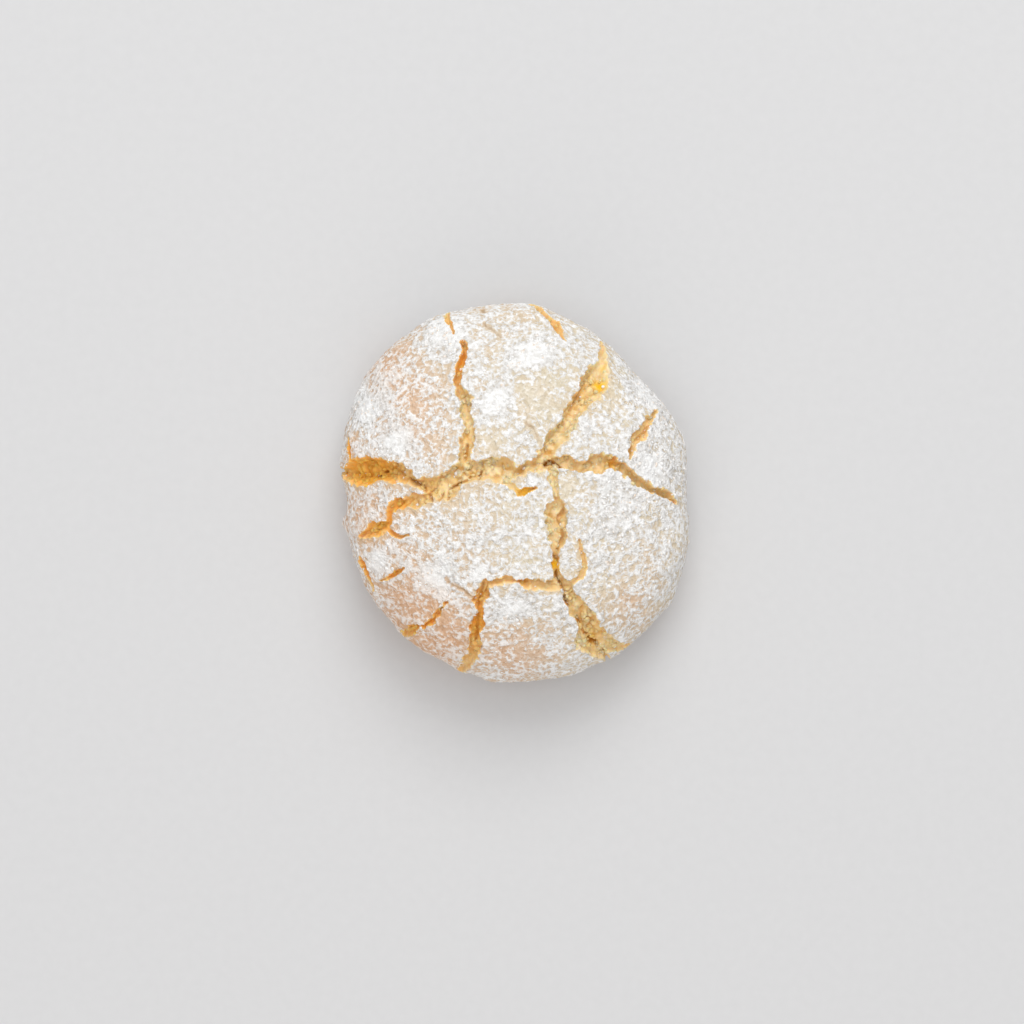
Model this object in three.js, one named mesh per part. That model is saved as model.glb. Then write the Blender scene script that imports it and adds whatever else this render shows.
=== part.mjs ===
// A soft amaretti cookie, baked in one piece: a low dome of almond dough that has split into plates of
// sugared crust, with the crumb showing in the splits, on the flat base that it was baked on.
// Millimetres, +Z up. The origin is the middle of the flat base. +X and +Y run across the cookie.

import * as THREE from "three";
import { ImprovedNoise } from "three/addons/math/ImprovedNoise.js";

// Driving dimensions.
const HEIGHT = 23; // from the base to the top of the dome
const WIDEST_HEIGHT = 8.5; // where the side bulges out most
// The widest radius, every 15 degrees from +X.
const OUTLINE_RADII = [
  25.9, 26.4, 26.1, 25.8, 26.4, 27.4, 28.3, 28.8, 28.9, 28.5, 27.6, 26.8,
  25.8, 26.2, 26.5, 26.7, 27.3, 27.9, 28.3, 28.6, 28.3, 28.5, 28.4, 27.2,
];
const BASE_SHARE = 0.87; // the base's radius over the widest one
const DOME_POWER = 2.3; // at 2 the dome is an ellipse, and above that its top is flatter

// Relief of the crust and of the crumb: how far it rises and falls, and how long its waves are.
const CRUST_RELIEF = [
  { rise: 0.42, wave: 10 },
  { rise: 0.16, wave: 3.6 },
];
const CRUMB_RELIEF = [
  { rise: 0.45, wave: 1.9 },
  { rise: 0.2, wave: 1.1 },
];
const RAGGED_EDGE = [
  { rise: 0.3, wave: 2.4 },
  { rise: 0.16, wave: 1.1 },
];
const LIP_RISE = 0.32; // the crust curls up beside a crack
const LIP_WIDTH = 1.3;
const WALL_WIDTH = 0.4; // a crack's wall, seen from above
const TORN_BACK = 0.2; // how much wider than its stations a crack has torn on each side
const FULL_DEPTH_HEIGHT = 0.8 * HEIGHT; // from here up a crack has its full depth
const CALM_HEIGHT = 2.2; // below this the side smooths out towards the base

// Edge lengths of the mesh: fine at a crack's wall, coarser with the distance from it.
const FINEST_EDGE = 1.06;
const CRUMB_EDGE = 1.4;
const COARSEST_EDGE = 3.8;
const EDGE_GROWTH = 1.1; // for each millimetre away from the wall
const BASE_EDGE = 9;
const FIRST_RINGS = 8; // rings of the first, even mesh

// The half axis of the side's ellipse below the widest height.
const SIDE_DEPTH = WIDEST_HEIGHT / Math.sqrt(1 - BASE_SHARE ** 2);
const DOME_RISE = HEIGHT - WIDEST_HEIGHT;
// The share of the way from the top to the base's edge at which the widest height comes.
const WIDEST_REACH = 0.78;
const ROUTE_STEP = 0.3; // between the points that stand for a crack's middle line

const noise = new ImprovedNoise();
const NOISE_START = new THREE.Vector3(7.3, 2.9, 5.1); // where in the noise the cookie's middle lies

// A sum of smooth waves at a point, each with its own rise and wavelength.
function relief(waves, point) {
  return waves.reduce((sum, { rise, wave }) => {
    const at = point.clone().divideScalar(wave).add(NOISE_START);
    return sum + rise * noise.noise(at.x, at.y, at.z);
  }, 0);
}

// The widest radius in a direction: a smooth closed curve through OUTLINE_RADII.
function outlineRadius(angle) {
  const count = OUTLINE_RADII.length;
  const at = (((angle / (2 * Math.PI)) * count) % count + count) % count;
  const first = Math.floor(at);
  const [before, start, end, after] = [-1, 0, 1, 2].map((k) => OUTLINE_RADII[(first + k + count) % count]);
  const t = at - first;
  const slopeIn = (end - before) / 2;
  const slopeOut = (after - start) / 2;
  const bend = 2 * start - 2 * end + slopeIn + slopeOut;
  return start + slopeIn * t + (end - start - slopeIn - bend) * t ** 2 + bend * t ** 3;
}

// Height of the dome where the radius is that share of the widest one, and the share at a height on the side.
const domeHeight = (share) => WIDEST_HEIGHT + DOME_RISE * Math.sqrt(Math.max(0, 1 - share ** DOME_POWER));
const sideShare = (z) =>
  z > WIDEST_HEIGHT
    ? (1 - ((z - WIDEST_HEIGHT) / DOME_RISE) ** 2) ** (1 / DOME_POWER)
    : Math.sqrt(1 - ((WIDEST_HEIGHT - z) / SIDE_DEPTH) ** 2);

// A station of a crack on the dome, or on the side in a direction given in degrees.
function top(x, y, halfWidth) {
  const share = Math.min(1, Math.hypot(x, y) / outlineRadius(Math.atan2(y, x)));
  return { point: new THREE.Vector3(x, y, domeHeight(share)), halfWidth };
}
function side(degrees, z, halfWidth) {
  const angle = THREE.MathUtils.degToRad(degrees);
  const radius = outlineRadius(angle) * sideShare(z);
  return { point: new THREE.Vector3(radius * Math.cos(angle), radius * Math.sin(angle), z), halfWidth };
}

// The cracks, as they opened in the oven. Each follows its stations. Its floor lies depth under the crust on
// the dome, and rimDepth under it at the rim and lower.
const CRACKS = [
  // The left gash, from the side to the heart of the cookie.
  {
    depth: 2.3,
    rimDepth: 0.45,
    route: [
      side(171.5, 3, 0.2), side(172.5, 6.5, 0.5), side(173.2, 10, 0.6), top(-24.6, 3, 1.1),
      top(-23.4, 3.1, 1.7), top(-21.5, 3.2, 2.1), top(-19.3, 3.3, 1.7), top(-17.8, 3, 1.3),
    ],
  },
  {
    depth: 1.1,
    rimDepth: 0.45,
    route: [
      top(-19, 3.2, 1.3), top(-17.8, 3, 1.35), top(-16.4, 2.7, 1), top(-15.4, 2.1, 0.75),
      top(-14.6, 1.6, 0.7), top(-13.2, 1.2, 0.85),
    ],
  },
  {
    depth: 1.2,
    rimDepth: 1,
    route: [
      top(-12.9, 1.1, 0.8), top(-11.6, 0.6, 1.5), top(-10.2, 0.9, 1.9), top(-8.7, 2.3, 1.35),
      top(-7.2, 3.1, 1.5), top(-5.6, 2.9, 1.2), top(-4, 3.2, 1.4), top(-2.5, 3.3, 1.65), top(-1, 3, 1.5),
      top(0.2, 2.8, 1), top(1.4, 3.4, 0.9), top(2.8, 4, 0.9), top(4.2, 4.2, 1.1),
    ],
  },
  // The upper left crack.
  {
    depth: 1.05,
    rimDepth: 0.5,
    route: [
      top(-7.6, 21.9, 0.1), top(-7.3, 21.2, 0.3), top(-7.2, 20.4, 0.4), top(-7.5, 19.4, 0.5),
      top(-7.8, 18.3, 0.75), top(-8, 17, 0.75), top(-8.4, 15.8, 0.5), top(-7.9, 14.5, 0.5),
      top(-7.2, 13.2, 0.8), top(-7.2, 12, 0.95), top(-7, 10.8, 0.9), top(-6.5, 9.5, 0.8),
      top(-6.8, 8, 0.9), top(-6.9, 6.6, 0.95), top(-7.2, 5.2, 0.9), top(-7.3, 3.8, 0.8),
    ],
  },
  // The upper right crack: steep on its left, with a long shallow slope on its right.
  {
    depth: 1,
    rimDepth: 0.4,
    route: [
      side(60, 12, 0.25), top(13, 21, 0.5), top(12.8, 19.2, 0.8), top(12.6, 17.6, 1.25),
      top(12.2, 16.2, 1.65), top(10.9, 14.6, 1.55), top(9.6, 12.9, 1.15), top(8.4, 11, 1),
      top(7.2, 9.3, 1), top(5.8, 7.6, 1.15), top(4.8, 6.2, 1.2), top(4.2, 4.8, 1.1),
    ],
  },
  {
    depth: 1.35,
    rimDepth: 0.6,
    route: [
      top(11.6, 18.4, 0.4), top(10.6, 16.6, 0.6), top(9.7, 14.6, 0.6), top(8.4, 12.4, 0.5),
      top(7.2, 10.4, 0.5), top(5.6, 8.5, 0.6), top(4.5, 6.8, 0.7), top(4.2, 5, 0.8), top(4.8, 4.2, 0.8),
    ],
  },
  // The right crack, and its small branch.
  {
    depth: 1.3,
    rimDepth: 0.5,
    route: [
      top(4.6, 4.1, 0.95), top(6.2, 4.3, 0.85), top(8, 4.1, 0.9), top(10, 3.7, 0.8), top(12, 4.1, 1.25),
      top(13.5, 4.4, 1.1), top(15, 3.9, 0.85), top(16.3, 3, 0.7), top(17.8, 1.8, 0.65),
      top(19.2, 0.8, 0.55), top(20.7, 0, 0.6), top(22, -0.3, 0.65), top(23.2, -1, 0.4),
      top(23.8, -1.6, 0.15),
    ],
  },
  {
    depth: 0.6,
    rimDepth: 0.4,
    route: [
      top(16.7, 4.9, 0.3), top(17, 6.2, 0.4), top(17.4, 7.5, 0.5), top(18.5, 8.5, 0.65),
      top(19.3, 9.6, 0.6), top(20.2, 10.9, 0.4), top(21, 12, 0.25),
    ],
  },
  // The lower crack, from the heart over the lower right rim and down the side, with torn slopes beside it.
  {
    depth: 0.4,
    rimDepth: 0.5,
    route: [
      top(5.1, 3.6, 0.5), top(5.6, 2.7, 0.6), top(5.8, 1.3, 0.55), top(6, 0, 0.25), top(6.3, -1.1, 0.4),
    ],
  },
  {
    depth: 1.05,
    rimDepth: 1,
    route: [
      top(6.3, -1.1, 0.3), top(6.2, -2, 1), top(6, -3, 1.5), top(6.1, -4.2, 1.4), top(6.3, -5.5, 1.25),
      top(6.3, -6.8, 1.1), top(6, -8.2, 0.65), top(6, -9.5, 0.5), top(6, -10.8, 0.5), top(6.2, -12, 0.48),
      top(7.2, -13.2, 0.6), top(7.8, -14.4, 0.8), top(8.1, -15.6, 0.85), top(8.9, -16.7, 1.1),
      top(9.9, -17.9, 1.4),
    ],
  },
  {
    depth: 1.1,
    rimDepth: 0.3,
    route: [
      top(9.9, -17.9, 1.4), top(10.6, -19, 1.45), top(11.3, -20.3, 1.65), top(11.9, -21.6, 1.75),
      top(12.5, -22.8, 1.2), top(13.2, -24, 0.4), side(-61, 10, 0.25), side(-61, 6.5, 0.3),
      side(-61.5, 4, 0.2),
    ],
  },
  {
    depth: 0.6,
    rimDepth: 0.4,
    route: [
      top(9.5, -19.8, 0.2), top(9.6, -21.2, 0.6), top(10.2, -22.6, 0.7), top(11.4, -23.6, 0.55),
    ],
  },
  {
    depth: 0.45,
    rimDepth: 0.3,
    route: [
      top(12.9, -20.4, 0.3), top(13.8, -21.9, 0.85), top(14.6, -22.8, 1.15), top(15.8, -22.9, 0.8),
      top(16.9, -22.5, 0.25),
    ],
  },
  {
    depth: 0.9,
    rimDepth: 0.9,
    route: [
      top(13, -23.6, 0.15), side(-60.6, 12, 0.2), side(-60.5, 8.5, 0.2), side(-60.5, 6, 0.1),
    ],
  },
  // The lower left crack, and the cross crack that joins it to the lower one.
  {
    depth: 0.75,
    rimDepth: 0.6,
    route: [
      top(6.2, -13.6, 0.75), top(4.5, -13.6, 0.75), top(2.8, -13.3, 0.65), top(1.5, -13.2, 0.6),
      top(0.8, -13, 0.25), top(0.3, -13, 0.05), top(-0.3, -12.9, 0.3), top(-1.8, -12.8, 0.55),
      top(-3.2, -13, 0.45), top(-4.1, -13.3, 0.5),
    ],
  },
  {
    depth: 1.2,
    rimDepth: 0.4,
    route: [
      top(-4.1, -13.2, 0.6), top(-4.7, -14.6, 0.68), top(-5.1, -16, 0.65), top(-4.9, -17.6, 0.68),
      top(-5.4, -19.2, 0.85), top(-5.7, -20.8, 0.95), top(-5.8, -22.4, 0.8), top(-6.3, -23.9, 0.95),
      side(-106, 12.5, 0.6), side(-107, 8, 0.3),
    ],
  },
  // The branches of the left gash.
  {
    depth: 0.85,
    rimDepth: 0.55,
    route: [
      top(-12.2, -0.7, 0.5), top(-13.3, -1, 0.8), top(-14.6, -1.3, 0.95), top(-15.9, -1.5, 0.8),
      top(-17, -1.7, 0.7), top(-18, -2.1, 0.4), top(-18.3, -2.9, 0.25), top(-18.3, -3.6, 0.35),
      top(-18.4, -4.4, 0.35), top(-19, -5, 0.75), top(-20.1, -5.2, 1), top(-21.4, -5.8, 0.7),
      top(-22.6, -6.4, 0.1),
    ],
  },
  {
    depth: 0.5,
    rimDepth: 0.4,
    route: [
      top(-18.4, -5.4, 0.3), top(-17.6, -6.1, 0.12), top(-16.6, -6.5, 0.14), top(-15.4, -6.2, 0.05),
    ],
  },
  // Short cracks near the rim, and two on the plates.
  {
    depth: 0.4,
    rimDepth: 0.4,
    route: [
      top(-24.3, 8, 0.02), top(-24.3, 6.9, 0.2), top(-24.2, 6.1, 0.35), top(-24.1, 5.1, 0.25),
      top(-24.1, 4.3, 0.1),
    ],
  },
  {
    depth: 0.9,
    rimDepth: 0.5,
    route: [
      top(-22.6, -9.4, 0.2), top(-22.3, -10.4, 0.75), top(-21.8, -11.7, 0.65), top(-21.3, -13.1, 0.4),
      top(-20.8, -14.4, 0.15),
    ],
  },
  {
    depth: 0.8,
    rimDepth: 0.4,
    route: [
      top(-10, -16.2, 0.15), top(-11, -17.4, 0.28), top(-12, -18.8, 0.32), top(-13.1, -19.6, 0.3),
      top(-14.2, -19.7, 0.4), top(-15.2, -20.4, 0.5), side(-128, 10, 0.35),
    ],
  },
  {
    depth: 0.5,
    rimDepth: 0.4,
    route: [
      top(-16.1, -11, 0.08), top(-17.2, -11.9, 0.2), top(-18.4, -12.5, 0.22), top(-19.5, -12.9, 0.1),
    ],
  },
  {
    depth: 0.38,
    rimDepth: 0.4,
    route: [
      top(9.4, -7, 0.02), top(9.7, -8.4, 0.08), top(10, -9.5, 0.2), top(10.2, -10.6, 0.35),
      top(10, -11.6, 0.35), top(9.5, -12.3, 0.3), top(8.6, -12.8, 0.25), top(7.9, -13.2, 0.3),
    ],
  },
  { depth: 0.3, rimDepth: 0.4, route: [top(-1.3, 1.6, 0.5), top(-0.4, 0.9, 0.5), top(0.3, 0.1, 0.35)] },
  {
    depth: 0.7,
    rimDepth: 0.7,
    route: [
      top(0.4, -0.6, 0.2), top(1.1, -0.2, 0.32), top(1.9, 0.2, 0.22), top(3.1, 0.6, 0.05),
    ],
  },
  {
    depth: 0.45,
    rimDepth: 0.3,
    route: [
      side(86, 11, 0.25), top(3.2, 27.3, 0.3), top(4.1, 26.3, 0.32), top(5.4, 25.1, 0.4),
      top(6.3, 24.2, 0.5), top(6.8, 22.9, 0.2), top(7.6, 21.9, 0.1),
    ],
  },
  {
    depth: 0.45,
    rimDepth: 0.4,
    route: [
      side(110.5, 11.5, 0.3), top(-9.8, 25.3, 0.2), top(-9.2, 24.2, 0.08), top(-8.9, 23.1, 0.05),
    ],
  },
  // Splits in the side that only show from beside the cookie.
  {
    depth: 1,
    rimDepth: 1.1,
    route: [
      side(18, 7.4, 0.15), side(22, 7, 0.3), side(26, 6, 0.5), side(30, 5.9, 0.35), side(35, 4.6, 0.45),
      side(38, 3.6, 0.15),
    ],
  },
  {
    depth: 1,
    rimDepth: 0.9,
    route: [
      side(129, 3.6, 0.15), side(133, 5.2, 0.4), side(138, 5.6, 0.5), side(143, 7, 0.3),
      side(147, 7.3, 0.15),
    ],
  },
  {
    depth: 0.8,
    rimDepth: 0.8,
    route: [
      side(228, 4.2, 0.2), side(231, 6, 0.5), side(230, 7.6, 0.4), side(232, 9, 0.15),
    ],
  },
  {
    depth: 1,
    rimDepth: 1,
    route: [
      side(265, 7.2, 0.15), side(270, 6.4, 0.4), side(275, 6.4, 0.5), side(280, 4.9, 0.35),
      side(284, 4.3, 0.15),
    ],
  },
  {
    depth: 1,
    rimDepth: 1,
    route: [
      side(322, 4, 0.15), side(328, 5, 0.4), side(333, 6.4, 0.35), side(338, 6.6, 0.5),
      side(345, 7.4, 0.15),
    ],
  },
];

// Dents in the side, and bumps where the depth is negative. A station's half width is the dent's radius.
const DENTS = [
  { depth: 1.5, station: side(183, 9, 2.4) },
  { depth: -0.5, station: side(189.5, 9, 1.6) },
  { depth: 0.95, station: side(197.5, 9.5, 2.6) },
  { depth: 0.4, station: side(45, 9, 5) },
  { depth: 0.4, station: side(108.5, 9, 2.6) },
  { depth: 0.4, station: side(205, 9, 1.6) },
  { depth: -0.2, station: side(141, 9, 1.5) },
  { depth: 0.4, station: side(296, 10, 1.5) },
  { depth: -0.3, station: side(325, 9, 1.5) },
  { depth: 0.35, station: side(228, 9, 3) },
  { depth: 0.3, station: side(246, 9, 3) },
  { depth: -0.25, station: side(262, 9, 2) },
  { depth: 0.3, station: side(340, 9, 3) },
];

function dentDepth(point) {
  return DENTS.reduce((sum, { depth, station }) => {
    const away = station.point.distanceTo(point) / station.halfWidth;
    return sum + depth * Math.exp(-(away ** 2));
  }, 0);
}

// A crack's middle line as close points, each with the crack's half width and depths there.
function middleLine({ depth, rimDepth, route }) {
  const curve = new THREE.CatmullRomCurve3(route.map((station) => station.point));
  const steps = Math.ceil(curve.getLength() / ROUTE_STEP);
  return Array.from({ length: steps + 1 }, (_, i) => {
    const at = (i / steps) * (route.length - 1);
    const first = Math.min(Math.floor(at), route.length - 2);
    const halfWidth = THREE.MathUtils.lerp(route[first].halfWidth, route[first + 1].halfWidth, at - first);
    return { point: curve.getPoint(i / steps), halfWidth, depth, rimDepth };
  });
}
const MIDDLE_LINES = CRACKS.map(middleLine);

// How the cracks touch a point of the smooth body: its distance outside the nearest crack's edge, negative
// inside, and how deep the floor lies there.
function cracksAt(point) {
  const ragged = relief(RAGGED_EDGE, point);
  const onDome = THREE.MathUtils.smoothstep(point.z, WIDEST_HEIGHT, FULL_DEPTH_HEIGHT);
  let outside = Infinity;
  let floor = 0;
  for (const line of MIDDLE_LINES) {
    let nearest = line[0];
    let least = Infinity;
    for (const spot of line) {
      const gap = spot.point.distanceTo(point) - spot.halfWidth;
      if (gap < least) [least, nearest] = [gap, spot];
    }
    const gap = least + ragged * Math.min(1, nearest.halfWidth) - TORN_BACK;
    outside = Math.min(outside, gap);
    const wall = Math.min(WALL_WIDTH, nearest.halfWidth);
    const depth = THREE.MathUtils.lerp(nearest.rimDepth, nearest.depth, onDome);
    floor = Math.max(floor, depth * THREE.MathUtils.smoothstep(-gap, -wall / 2, wall));
  }
  return { outside, floor };
}

// The body's surface is one sheet from the top to the base's edge, and another under the base. A spot on
// either is a point in a circle of radius 1, whose rim is the base's edge.
const TOP = "top";
const EDGE = "edge";
const BASE = "base";

function bodyPoint({ x, y, sheet }) {
  const reach = Math.hypot(x, y);
  const angle = Math.atan2(y, x);
  const radius = outlineRadius(angle);
  const onBase = sheet !== TOP;
  const share = onBase ? BASE_SHARE * reach : topShare(reach);
  const z = onBase ? 0 : reach < WIDEST_REACH ? domeHeight(share) : lowerHeight(reach);
  return new THREE.Vector3(radius * share * Math.cos(angle), radius * share * Math.sin(angle), z);
}
const lowerHeight = (reach) => (WIDEST_HEIGHT * (1 - reach)) / (1 - WIDEST_REACH);
const topShare = (reach) =>
  reach < WIDEST_REACH ? Math.sin(((Math.PI / 2) * reach) / WIDEST_REACH) : sideShare(lowerHeight(reach));

// The direction out of the smooth body at one of its points above the base.
function outward(point) {
  const angle = Math.atan2(point.y, point.x);
  const radius = outlineRadius(angle);
  const share = Math.hypot(point.x, point.y) / radius;
  const above = point.z - WIDEST_HEIGHT;
  const across = above > 0 ? (DOME_POWER * share ** (DOME_POWER - 1)) / radius : (2 * share) / radius;
  const up = above > 0 ? (2 * above) / DOME_RISE ** 2 : (2 * above) / SIDE_DEPTH ** 2;
  return new THREE.Vector3(across * Math.cos(angle), across * Math.sin(angle), up).normalize();
}

// The even first mesh: rings of spots, six more in each ring than in the last, on both sheets.
function firstMesh() {
  const spots = [];
  const faces = [];
  const rimRing = [];
  for (const sheet of [TOP, BASE]) {
    let inner = [spots.push({ x: 0, y: 0, sheet }) - 1];
    for (let ring = 1; ring <= FIRST_RINGS; ring += 1) {
      const rim = ring === FIRST_RINGS;
      const outer = Array.from({ length: 6 * ring }, (_, i) => {
        if (rim && sheet === BASE) return rimRing[i];
        const angle = (2 * Math.PI * i) / (6 * ring);
        const reach = ring / FIRST_RINGS;
        const spot = { x: reach * Math.cos(angle), y: reach * Math.sin(angle), sheet: rim ? EDGE : sheet };
        return spots.push(spot) - 1;
      });
      if (rim && sheet === TOP) rimRing.push(...outer);
      const ringFaces = [];
      for (let sector = 0; sector < 6; sector += 1) {
        for (let i = 0; i < ring; i += 1) {
          const a = outer[sector * ring + i];
          const b = outer[(sector * ring + i + 1) % outer.length];
          const c = inner[(sector * (ring - 1) + i) % inner.length];
          ringFaces.push([a, b, c]);
          if (i < ring - 1) ringFaces.push([b, inner[(sector * (ring - 1) + i + 1) % inner.length], c]);
        }
      }
      faces.push(...ringFaces.map(([a, b, c]) => (sheet === TOP ? [a, b, c] : [b, a, c])));
      inner = outer;
    }
  }
  return { spots, faces };
}

function middleSpot(a, b) {
  const x = (a.x + b.x) / 2;
  const y = (a.y + b.y) / 2;
  if (a.sheet !== EDGE || b.sheet !== EDGE) return { x, y, sheet: a.sheet === EDGE ? b.sheet : a.sheet };
  const reach = Math.hypot(x, y);
  return { x: x / reach, y: y / reach, sheet: EDGE };
}

// Splits faces across their longest edge until each is as small as wantedEdge asks at its corners. A face
// whose neighbour splits a shared edge is split there too, so that the mesh stays closed.
function refine({ spots, faces }, wantedEdge) {
  const points = spots.map(bodyPoint);
  const wanted = spots.map((spot, i) => wantedEdge(spot, points[i]));
  const key = (a, b) => (a < b ? `${a} ${b}` : `${b} ${a}`);
  const length = (a, b) => points[a].distanceTo(points[b]);
  const turned = (face) => {
    const [a, b, c] = face;
    const sides = [length(a, b), length(b, c), length(c, a)];
    const longest = sides.indexOf(Math.max(...sides));
    return [face[longest], face[(longest + 1) % 3], face[(longest + 2) % 3]];
  };
  let mesh = faces.map(turned);
  for (;;) {
    const middles = new Map();
    const mark = (a, b) => middles.set(key(a, b), -1);
    for (const [a, b, c] of mesh) {
      if (length(a, b) > Math.min(wanted[a], wanted[b], wanted[c])) mark(a, b);
    }
    if (!middles.size) return { points, spots, faces: mesh };
    for (let grew = true; grew; ) {
      grew = false;
      for (const [a, b, c] of mesh) {
        const touched = middles.has(key(b, c)) || middles.has(key(c, a));
        if (touched && !middles.has(key(a, b))) {
          mark(a, b);
          grew = true;
        }
      }
    }
    for (const edge of middles.keys()) {
      const [a, b] = edge.split(" ").map(Number);
      const spot = middleSpot(spots[a], spots[b]);
      const point = bodyPoint(spot);
      middles.set(edge, spots.push(spot) - 1);
      points.push(point);
      wanted.push(wantedEdge(spot, point));
    }
    // Both halves of a face keep the other marked edges of that face, and are split there in turn.
    const halves = ([a, b, c]) => {
      for (const [p, q, r] of [[a, b, c], [b, c, a], [c, a, b]]) {
        const middle = middles.get(key(p, q));
        if (middle !== undefined) return [...halves([p, middle, r]), ...halves([middle, q, r])];
      }
      return [turned([a, b, c])];
    };
    mesh = mesh.flatMap(halves);
  }
}

function wantedEdge({ sheet }, point) {
  if (sheet === BASE) return BASE_EDGE;
  const { outside } = cracksAt(point);
  if (outside < -WALL_WIDTH) return CRUMB_EDGE;
  return Math.min(COARSEST_EDGE, FINEST_EDGE + EDGE_GROWTH * Math.max(0, outside - LIP_WIDTH / 3));
}

// Moves a point of the smooth body to the crust or, in a crack, to the crumb.
function bakedPoint({ sheet }, point) {
  if (sheet !== TOP) return point;
  const { outside, floor } = cracksAt(point);
  const inCrack = THREE.MathUtils.smoothstep(-outside, 0, WALL_WIDTH);
  const lip = LIP_RISE * Math.exp(-Math.max(0, outside) / LIP_WIDTH) * (1 - inCrack);
  const rough = relief(CRUST_RELIEF, point) + inCrack * relief(CRUMB_RELIEF, point) - dentDepth(point);
  const calm = THREE.MathUtils.smoothstep(point.z, 0, CALM_HEIGHT);
  return point.clone().addScaledVector(outward(point), calm * (lip + rough - floor));
}

function cookieGeometry() {
  const { spots, points, faces } = refine(firstMesh(), wantedEdge);
  const geometry = new THREE.BufferGeometry()
    .setFromPoints(points.map((point, i) => bakedPoint(spots[i], point)))
    .setIndex(faces.flat());
  geometry.computeBoundingBox();
  const middle = geometry.boundingBox.getCenter(new THREE.Vector3());
  geometry.translate(-middle.x, -middle.y, 0);
  geometry.computeVertexNormals();
  return geometry;
}

function sugaredCrust() {
  return new THREE.MeshStandardMaterial({
    name: "sugared crust",
    color: 0xece3d6,
    roughness: 0.9,
    metalness: 0,
  });
}

const cookie = new THREE.Mesh(cookieGeometry(), sugaredCrust());
cookie.name = "cookie";

const part = new THREE.Group();
part.add(cookie);
export default part;
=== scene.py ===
import itertools
import math

import bmesh
import bpy
import numpy as np
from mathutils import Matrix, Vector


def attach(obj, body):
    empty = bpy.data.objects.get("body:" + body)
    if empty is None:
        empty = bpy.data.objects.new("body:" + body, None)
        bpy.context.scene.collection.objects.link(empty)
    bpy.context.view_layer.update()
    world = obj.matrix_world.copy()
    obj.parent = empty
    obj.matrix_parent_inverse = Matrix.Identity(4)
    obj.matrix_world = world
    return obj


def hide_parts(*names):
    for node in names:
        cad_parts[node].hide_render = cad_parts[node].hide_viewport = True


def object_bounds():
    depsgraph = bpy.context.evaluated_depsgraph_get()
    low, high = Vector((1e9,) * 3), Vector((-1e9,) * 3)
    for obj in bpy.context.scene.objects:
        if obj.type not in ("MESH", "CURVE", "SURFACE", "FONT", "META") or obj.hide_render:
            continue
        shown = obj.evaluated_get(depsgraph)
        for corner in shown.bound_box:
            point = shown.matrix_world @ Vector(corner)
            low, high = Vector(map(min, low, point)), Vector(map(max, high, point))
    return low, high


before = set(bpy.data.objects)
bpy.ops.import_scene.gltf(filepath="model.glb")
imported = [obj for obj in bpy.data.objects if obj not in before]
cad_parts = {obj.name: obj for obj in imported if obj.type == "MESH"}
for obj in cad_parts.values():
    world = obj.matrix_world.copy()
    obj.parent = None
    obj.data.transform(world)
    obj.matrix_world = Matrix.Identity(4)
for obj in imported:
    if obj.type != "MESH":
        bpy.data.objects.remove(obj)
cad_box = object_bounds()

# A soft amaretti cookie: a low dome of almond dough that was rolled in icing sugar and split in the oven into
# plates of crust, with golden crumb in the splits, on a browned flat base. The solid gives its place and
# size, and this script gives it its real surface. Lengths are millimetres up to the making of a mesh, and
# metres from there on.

MM = 0.001

# Driving dimensions, the same as the solid's. OUTLINE_RADII are the widest radii, all round from the east.
HEIGHT = 23.0
WIDEST_HEIGHT = 8.5
OUTLINE_RADII = np.array([
    25.9, 26.4, 26.1, 25.8, 26.4, 27.4, 28.3, 28.8, 28.9, 28.5, 27.6, 26.8,
    25.8, 26.2, 26.5, 26.7, 27.3, 27.9, 28.3, 28.6, 28.3, 28.5, 28.4, 27.2,
])
BASE_SHARE = 0.87  # the base's radius, as a share of the widest one
DOME_POWER = 2.3  # the higher, the flatter the top and the rounder the shoulder
WIDEST_REACH = 0.78  # where the widest place lies on the way from the top to the base's edge
SIDE_DEPTH = WIDEST_HEIGHT / math.sqrt(1 - BASE_SHARE ** 2)
DOME_RISE = HEIGHT - WIDEST_HEIGHT

# Relief of the crust: how far it rises and falls, and how long its waves are.
CRUST_RELIEF = ((0.42, 10.0), (0.16, 3.6))
CURLS = ((0.1, 2.1), (0.07, 1.15))
CLUMP = 2.1
CLUMP_RISE = 0.2
LIP_RISE = 0.32  # the crust curls up beside a crack
LIP_WIDTH = 1.3
CALM_HEIGHT = 2.2  # under this height the relief fades out towards the base
WARP_WAVE = 1.9
WARP_REACH = 0.45

# Relief of the crumb: chunks, round pearls on them and a fine grain, each with its size and its rise.
CHUNK = 2.7
CHUNK_RISE = 0.45
PEARL = 1.25
PEARL_RISE = 0.6
PEARLY_WAVE = 3.2
CRUMB_GRAIN = 0.62
CRUMB_GRAIN_RISE = 0.14

# Pits in the base.
BASE_PITS = ((1.0, 3.0), (0.5, 1.6))
PIT_DEPTH = 0.2

# A point of the dome that stands in for those of the base, where a direction outward is asked for.
STAND_IN = (1, 0, 20)

# A crack's edge: how ragged it is, and how far it tore back.
RAGGED_EDGE = ((0.38, 2.4), (0.45, 1.15), (0.3, 0.6))
TORN_BACK = 0.18

# A crack's wall, seen from above: how wide it is where it is steep and where it slopes softly, and how much
# of the crack's depth falls there and how much towards its middle.
WALL_WIDTH = 0.34
SOFT_WALL_WIDTH = 1.5
WALL_FALL = 0.82
MIDDLE_FALL = 0.18

# How far a steep wall's edge leans over the crack and how far the wall is cut back under it, with the width
# of each and its place inside the edge.
OVERHANG = 0.14
OVERHANG_WIDTH = 0.24
UNDERCUT = 0.1
UNDERCUT_WIDTH = 0.2
UNDERCUT_PLACE = 0.36
WALL_MIDDLE = 0.28
WALL_RELIEF = ((0.16, 1.1), (0.1, 0.55))

# How much of its depth a hair crack is cut into the crust.
HAIR_CRACK_SHARE = 0.6

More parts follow.
